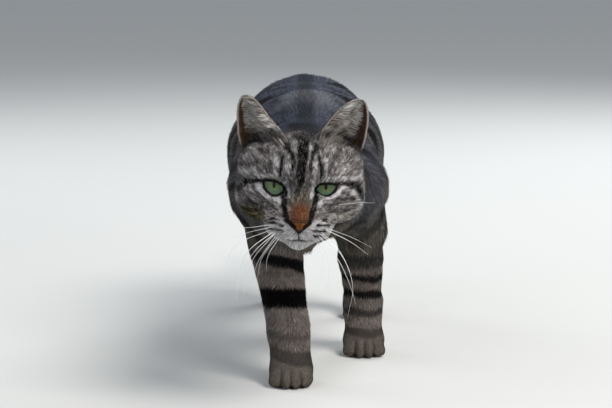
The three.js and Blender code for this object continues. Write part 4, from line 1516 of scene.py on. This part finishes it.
# %% Places for tufts
bpy.ops.object.select_all(action="DESELECT")
only(skin)
for rim in rims:
    rim.select_set(True)
bpy.ops.object.join()
with editing(skin):
    bpy.ops.uv.smart_project(angle_limit=math.radians(66), island_margin=0.002)
skin.data.uv_layers[0].name = "OFBake"
faces = triangles_of(skin.data)
loops = np.empty(len(skin.data.loop_triangles) * 3, np.int32)
skin.data.loop_triangles.foreach_get("loops", loops)
flat_uv = np.empty(len(skin.data.loops) * 2, np.float32)
skin.data.uv_layers["OFBake"].data.foreach_get("uv", flat_uv)
furred = (faces < len(points)).all(axis=1)
face_uv = flat_uv.reshape(-1, 2)[loops.reshape(-1, 3)][furred]
faces = faces[furred]
normals = normals_of(skin.data)[: len(points)]
corner = points[faces]
across = np.cross(corner[:, 1] - corner[:, 0], corner[:, 2] - corner[:, 0])
area = np.linalg.norm(across, axis=1) / 2 / MM**2
print("skin area", round(area.sum() / 100), "square centimetres,", len(faces), "triangles")

DENSITY = np.array([2.4, 4.2, 1.7, 1.3, 1.4, 2.0, 2.9, 1.4])
LENGTH = np.array([2.6, 5.5, 10, 12, 10.5, 5.5, 2.2, 11])
WIDTH = np.array([0.28, 0.32, 0.42, 0.48, 0.46, 0.36, 0.28, 0.48])
LIFT = np.array([0.25, 1.5, 2.0, 2.0, 1.9, 1.1, 0.6, 2.1])


def scatter(density):
    """Random places on the skin, as faces and corner shares, by a density for each square millimetre."""
    wanted = area * density
    number = np.floor(wanted + rng.random(len(wanted))).astype(int)
    face = np.repeat(np.arange(len(faces)), number)
    a, b = rng.random((2, len(face)))
    over = a + b > 1
    a, b = np.where(over, 1 - a, a), np.where(over, 1 - b, b)
    return face, np.stack([1 - a - b, a, b], axis=1)


def spread(values, face, shares):
    """Point values of the skin carried to places on its faces."""
    picked = values[faces[face]]
    if picked.ndim == 2:
        return (picked * shares).sum(axis=1)
    return (picked * shares[:, :, None]).sum(axis=1)


def patch_at(face, shares):
    """Where places on the skin lie on its unwrap."""
    return (face_uv[face] * shares[:, :, None]).sum(axis=1)


# %% [markdown]
# ## Blades of hair
# A tuft is a thin blade that tapers to a point: it leaves the skin, bends over and lies along the body.
# Hair curves would be easier, but they aren't solid. So all blades of a piece are made at once from
# arrays, row by row, and shaded with normals close to the skin's, so that they catch light as fur does.

# %% Blades of hair
PATCH = 0.0015


def blades(name, root, normal, lie, length, width, lift, colours, uv, look, segments=2):
    """A coat piece: one blade for each root. colours are at the root, the middle and the tip."""
    count = len(root)
    roll = rng.normal(0, 0.32, count)[:, None]
    side = np.cross(lie, normal)
    side = unit(side * np.cos(roll) + normal * np.sin(roll))
    levels = np.linspace(0, 1, segments + 1)
    rows, tints, patch = [], [], []
    for t in levels:
        bow = 1 - (1 - t) ** 2
        centre = root + lie * (length * t)[:, None] + normal * (lift * bow - 0.15 * MM * (t == 0))[:, None]
        half = (width * (0.5 if t == 0 else 0.5 * (1.12 - 0.45 * t)))[:, None]
        if t <= 0.5:
            tint = blend(colours[0], colours[1], min(1, 2 * t))
        else:
            tint = blend(colours[1], colours[2], 2 * t - 1)
        if t < 1:
            rows += [centre - side * half, centre + side * half]
            tints += [tint, tint]
            patch += [uv + (-PATCH, 2 * PATCH * t - PATCH), uv + (PATCH, 2 * PATCH * t - PATCH)]
        else:
            rows.append(centre)
            tints.append(tint)
            patch.append(uv + (0.0, PATCH))
    rows = [np.concatenate([row[:, :2], np.maximum(row[:, 2:], 0.0)], axis=1) for row in rows]
    per = len(rows)
    co = np.stack(rows, axis=1).reshape(-1, 3)
    tint = np.stack(tints, axis=1).reshape(-1, 3)
    uvs = np.stack(patch, axis=1).reshape(-1, 2)
    pattern = []
    for k in range(segments - 1):
        pattern += [(2 * k, 2 * k + 1, 2 * k + 3), (2 * k, 2 * k + 3, 2 * k + 2)]
    pattern.append((2 * segments - 2, 2 * segments - 1, 2 * segments))
    tris = (np.array(pattern)[None] + (np.arange(count) * per)[:, None, None]).reshape(-1, 3)
    mesh = bpy.data.meshes.new(name)
    mesh.vertices.add(len(co))
    mesh.vertices.foreach_set("co", co.astype(np.float32).ravel())
    mesh.loops.add(len(tris) * 3)
    mesh.loops.foreach_set("vertex_index", tris.astype(np.int32).ravel())
    mesh.polygons.add(len(tris))
    mesh.polygons.foreach_set("loop_start", np.arange(0, len(tris) * 3, 3, dtype=np.int32))
    mesh.update(calc_edges=True)
    paint(mesh, "coat", tint)
    layer = mesh.uv_layers.new(name="OFBake")
    layer.data.foreach_set("uv", uvs[tris.ravel()].astype(np.float32).ravel())
    mesh.materials.append(look)
    mesh.shade_smooth()
    flat = np.cross(side, lie)
    flat *= np.sign((flat * normal).sum(axis=1))[:, None]
    soft = unit(0.72 * normal + 0.28 * unit(flat))
    mesh.normals_split_custom_set_from_vertices(np.repeat(soft, per, axis=0))
    obj = bpy.data.objects.new(name, mesh)
    scene.collection.objects.link(obj)
    return obj


# %% [markdown]
# ## How much, how long
# The coat is dense and short on the face and the paws, long and looser on the trunk and the cheeks. It
# leaves the nose, the lids and the soles bare, and is thin in the cups of the ears.

# %% How much, how long
hair = Board("coat", 0.8, Specular_IOR_Level=0.03)
hair.set("Base Color", hair.colour("coat"))
front_face = weights[:, 1] * ramp(34, 12, head[:, 1])
density = weights @ DENSITY + 2.6 * front_face
bare = ramp(0.6, 1.3, lid_gap)
nose_gap, _ = to_loop(view, NOSE_LOOP)
on_nose = (head[:, 1] < -14) & (weights[:, 1] > 0.5)
bare = np.where(on_nose, bare * ramp(-0.3, 0.3, nose_gap), bare)
density = density * bare
density = np.where(points[:, 2] < 0.0015, 0, density)
density *= 1 - 0.85 * cup * (1 - skin_rim)
length = weights @ LENGTH
snout = ramp(16, -8, head[:, 1]) * weights[:, 1]
length = blend(length, 3.2, snout)
at_lids = near_eye(head, 22) & (head[:, 1] < 20)
length = np.where(at_lids, np.minimum(length, 1.1 + 0.26 * np.maximum(lid_gap, 0)), length)
bridge = ramp(11, 7, np.abs(head[:, 0])) * ramp(6, -4, head[:, 2]) * ramp(5, 0, head[:, 1])
length = blend(length, 1.9, bridge * weights[:, 1])
length += 4.0 * weights[:, 1] * ramp(18, 34, head[:, 1]) * ramp(10, -5, head[:, 2])
fluff = weights[:, 1] * ramp(30, 42, np.abs(head[:, 0])) * ramp(-32, -22, head[:, 2])
fluff *= ramp(4, 14, head[:, 1])
length += 2.5 * fluff
lift = weights @ LIFT
temple = fluff * ramp(4, 14, head[:, 2])
lift = np.where(weights[:, 1] > 0.5, np.minimum(lift, 0.30 * length), lift) + 1.0 * fluff + 1.9 * temple
width = weights @ WIDTH
width = blend(width, 0.24, snout)
face, shares = scatter(density[faces].mean(axis=1) * (1.0))
print(len(face), "tufts")
root = spread(points, face, shares)
normal = unit(spread(normals, face, shares))
region = spread(weights, face, shares)
lie = lie_of(root, region, normal)
loose = blend(0.11, 0.2, region[:, 1])
swirl = (noise(root, 0.012, 7) - 0.5) * 0.6 + rng.normal(0, 1, len(root)) * loose
across_lie = np.cross(normal, lie)
lie = unit(lie * np.cos(swirl)[:, None] + across_lie * np.sin(swirl)[:, None])
long = spread(length, face, shares) * rng.uniform(0.7, 1.25, len(root)) * MM
high = spread(lift, face, shares) * rng.uniform(0.55, 1.1, len(root)) * MM
broad = spread(width, face, shares) * rng.uniform(0.75, 1.25, len(root)) * MM

# %% [markdown]
# ## Colour of each tuft
# Each tuft takes the pattern at its root and strays from it at random: some have a dark tip, some a pale
# one, which is what makes a tabby's ground look grey from afar. On the face the hairs clump in rays.

# %% Colour of each tuft
EDGE_HAIR = np.array([0.40, 0.36, 0.33])
PALEST = np.array([0.8, 0.78, 0.76])
black, white, tan, rust = markings(root, region, normal)
fleck = 0.55 * (rng.random(len(root)) > 0.84) * region[:, 1]
masks = black * (1 - fleck), white, tan, rust
ground = coat_colour(region, masks)
quiet = np.clip(masks[0] + 0.8 * masks[1] + 0.6 * masks[3], 0, 1)
ticked = rng.random(len(root))
body = 1 - region[:, 1] - region[:, 0]
spread_of = blend(0.62, 0.26, np.clip(quiet + 0.75 * body, 0, 1))
value = np.exp(rng.normal(0, 1, len(root)) * spread_of - 0.1)
rays = face_view(root) - (0.8, -30.0)
reach = np.hypot(rays[:, 0], rays[:, 1])
turn = np.arctan2(rays[:, 0], rays[:, 1])
fan = np.stack([turn * 46, reach * 0.42, to_head(root)[:, 1] * 0.3], axis=1) * MM
clump = 0.7 * noise(fan, 0.0010, 21) + 0.3 * noise(fan, 0.0022, 22) - 0.5
clump *= region[:, 1] * (1 - 0.5 * masks[1]) * (1 - 0.6 * masks[3])
value *= np.exp(3.6 * clump)
dark_tip = (ticked < blend(0.40, 0.1, quiet)).astype(float) * blend(1, 0.6, body)
pale_tip = ((ticked > 0.80) & (masks[0] < 0.5)).astype(float)
shade = ground * value[:, None]
tip = shade * blend(1.15, 0.22, dark_tip)[:, None] * (1 + 0.9 * pale_tip * (1 - 0.5 * body))[:, None]
at_rim = ear_rim(root, region)
long = long * (1 - 0.6 * at_rim)
rim_share = (0.85 * at_rim)[:, None]
along = ((shade * 0.55, 0.8), (shade, 1.0), (tip, 1.0))
colours = [np.minimum(blend(c, EDGE_HAIR * k, rim_share), PALEST) for c, k in along]
root_uv = patch_at(face, shares)

# %% [markdown]
# ## Hair inside the ears
# Long pale hairs lie across each cup, from its inner edge outwards. They could run out over the far edge,
# so each is shortened until its tip stays inside the outline.

# %% Hair inside the ears
PALE_HAIR = np.array([0.36, 0.335, 0.31])
BROWN_HAIR = np.array([0.10, 0.07, 0.05])
in_cup = cup * ramp(1.0, 0.4, skin_rim)


def keep_in(long, root, lie, inset):
    """Shortens hairs whose tips would stick out over the edge of an ear as it shows from the front."""
    side = np.sign(face_view(root)[:, 0])
    for _ in range(7):
        tips = face_view(root + lie * long[:, None])
        for sign in SIDES:
            mine = np.flatnonzero(side == sign)
            gap, _ = to_loop(tips[mine], RIM_LINES[sign])
            out = (gap > -inset) & (tips[mine, 1] > 30)
            long[mine[out]] *= 0.72
    return long


reach_out = np.zeros(len(points))
for sign in SIDES:
    mine = (view[:, 0] * sign > 0) & (weights[:, 0] > 0.2)
    for low in np.arange(15, 75, 2.0):
        row = mine & (view[:, 1] >= low) & (view[:, 1] < low + 2)
        if row.any():
            reach = np.abs(view[row, 0])
            reach_out[row] = (reach - reach.min()) / max(np.ptp(reach), 1e-6)
thick_c = 5.5 * in_cup * ramp(0.80, 0.55, reach_out) * ramp(20, 30, view[:, 1])
face_c, shares_c = scatter(thick_c[faces].mean(axis=1))
root_c = spread(points, face_c, shares_c)
normal_c = unit(spread(normals, face_c, shares_c))
count_c = len(root_c)
sign_c = np.sign(to_head(root_c)[:, 0])
low_c = face_view(root_c)
near_base = ramp(48, 37, low_c[:, 1] + 0.25 * (np.abs(low_c[:, 0]) - 20))
fall = 0.18 * np.sin(root_c[:, 2] / MM / 4.0) + rng.normal(-0.02, 0.13, count_c) + 1.6 * near_base
lie_c = sign_c[:, None] * HEAD_X + fall[:, None] * HEAD_Z - 0.12 * HEAD_Y
lie_c = unit(lie_c - 0.5 * (lie_c * normal_c).sum(axis=1, keepdims=True) * normal_c)
long_c = rng.uniform(5.0, 9.5, count_c) * MM * (1 - 0.45 * spread(reach_out, face_c, shares_c))
long_c = keep_in(long_c, root_c, lie_c, 0.9)
tone_c = (np.exp(rng.normal(0, 0.55, count_c)) * (0.15 + 1.9 * noise(root_c, 0.0015, 12)))[:, None]
# Painted shade: hairs deep in the lower, outer part of the cup and near the base of the ear are darkened.
cup_shade_c = ramp(48, 38, low_c[:, 1]) * ramp(26, 34, np.abs(low_c[:, 0]))
tone_c *= (blend(1.0, 0.25, cup_shade_c) * blend(1.0, 0.40, near_base))[:, None]
pale_c = PALE_HAIR * tone_c
brown_c = BROWN_HAIR * tone_c
mix_c = 0.7 * ramp(0.60, 0.80, noise(root_c, 0.006, 14))[:, None]
pale_c = np.minimum(blend(pale_c, brown_c, mix_c), 0.7)
uv_c = patch_at(face_c, shares_c)
inner = blades(
    "coat_ear_hair", root_c, normal_c, lie_c, long_c, rng.uniform(0.22, 0.4, count_c) * MM,
    rng.uniform(0.4, 1.7, count_c) * MM, [pale_c * 0.7, pale_c, pale_c * 1.1], uv_c, hair.material, 3,
)
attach(inner, "root")
print("ear hair", count_c, "tufts")

on_ear = np.flatnonzero(region[:, 0] > 0.4)
long[on_ear] = keep_in(long[on_ear], root[on_ear], lie[on_ear], -0.25)

# %% [markdown]
# ## The coat in pieces
# One mesh of all the hair would be too heavy to handle, so the tufts are dealt out to pieces by where
# their roots are. The first rule that fits takes a tuft, and what no rule takes is on the rump.

# %% The coat in pieces
PIECE_LIMIT = 190000
SLOTS = {
    "coat_ears": "coat_face", "coat_face": "coat_face", "coat_head": "coat_face", "coat_jaw": "coat_pale",
    "coat_neck": "coat_body", "coat_chest": "coat_body", "coat_belly": "coat_body",
    "coat_rump": "coat_body", "coat_legs_front": "coat_legs", "coat_legs_hind": "coat_legs",
    "coat_paws": "coat_legs", "coat_tail": "coat_body",
}
PIECES = list(SLOTS)
hr = to_head(root)
main = region.argmax(axis=1)
RULES = {
    "coat_ears": main == 0,
    "coat_jaw": (main == 1) & (hr[:, 2] < -36 + 0.12 * (hr[:, 1] + 30)),
    "coat_face": (main == 1) & (hr[:, 1] < 16),
    "coat_head": main == 1,
    "coat_neck": main == 2,
    "coat_tail": main == 7,
    "coat_paws": main == 6,
    "coat_legs_front": (main == 5) & (root[:, 1] < -0.03),
    "coat_legs_hind": main == 5,
    "coat_chest": root[:, 1] < -0.09,
    "coat_belly": root[:, 1] < 0.02,
}
order = [PIECES.index(name) for name in RULES]
piece = np.select(list(RULES.values()), order, PIECES.index("coat_rump"))
for index, name in enumerate(PIECES):
    mine = np.flatnonzero(piece == index)
    parts = max(1, math.ceil(len(mine) * 3 / PIECE_LIMIT))
    for part, chosen in enumerate(np.array_split(mine[np.argsort(root[mine, 1])], parts)):
        label = name if parts == 1 else f"{name}_{part + 1}"
        tuft = blades(
            label, root[chosen], normal[chosen], lie[chosen], long[chosen], broad[chosen], high[chosen],
            [c[chosen] for c in colours], root_uv[chosen], hair.material,
        )
        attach(tuft, "root")
        print(label, len(tuft.data.polygons), "triangles")

# %% [markdown]
# ## Finish
# The skin takes the place of the solids of flesh, and the sizes are kept.

# %% Finish
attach(skin, "root")
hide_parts(*[name for name in FLESH if name != "nose"])
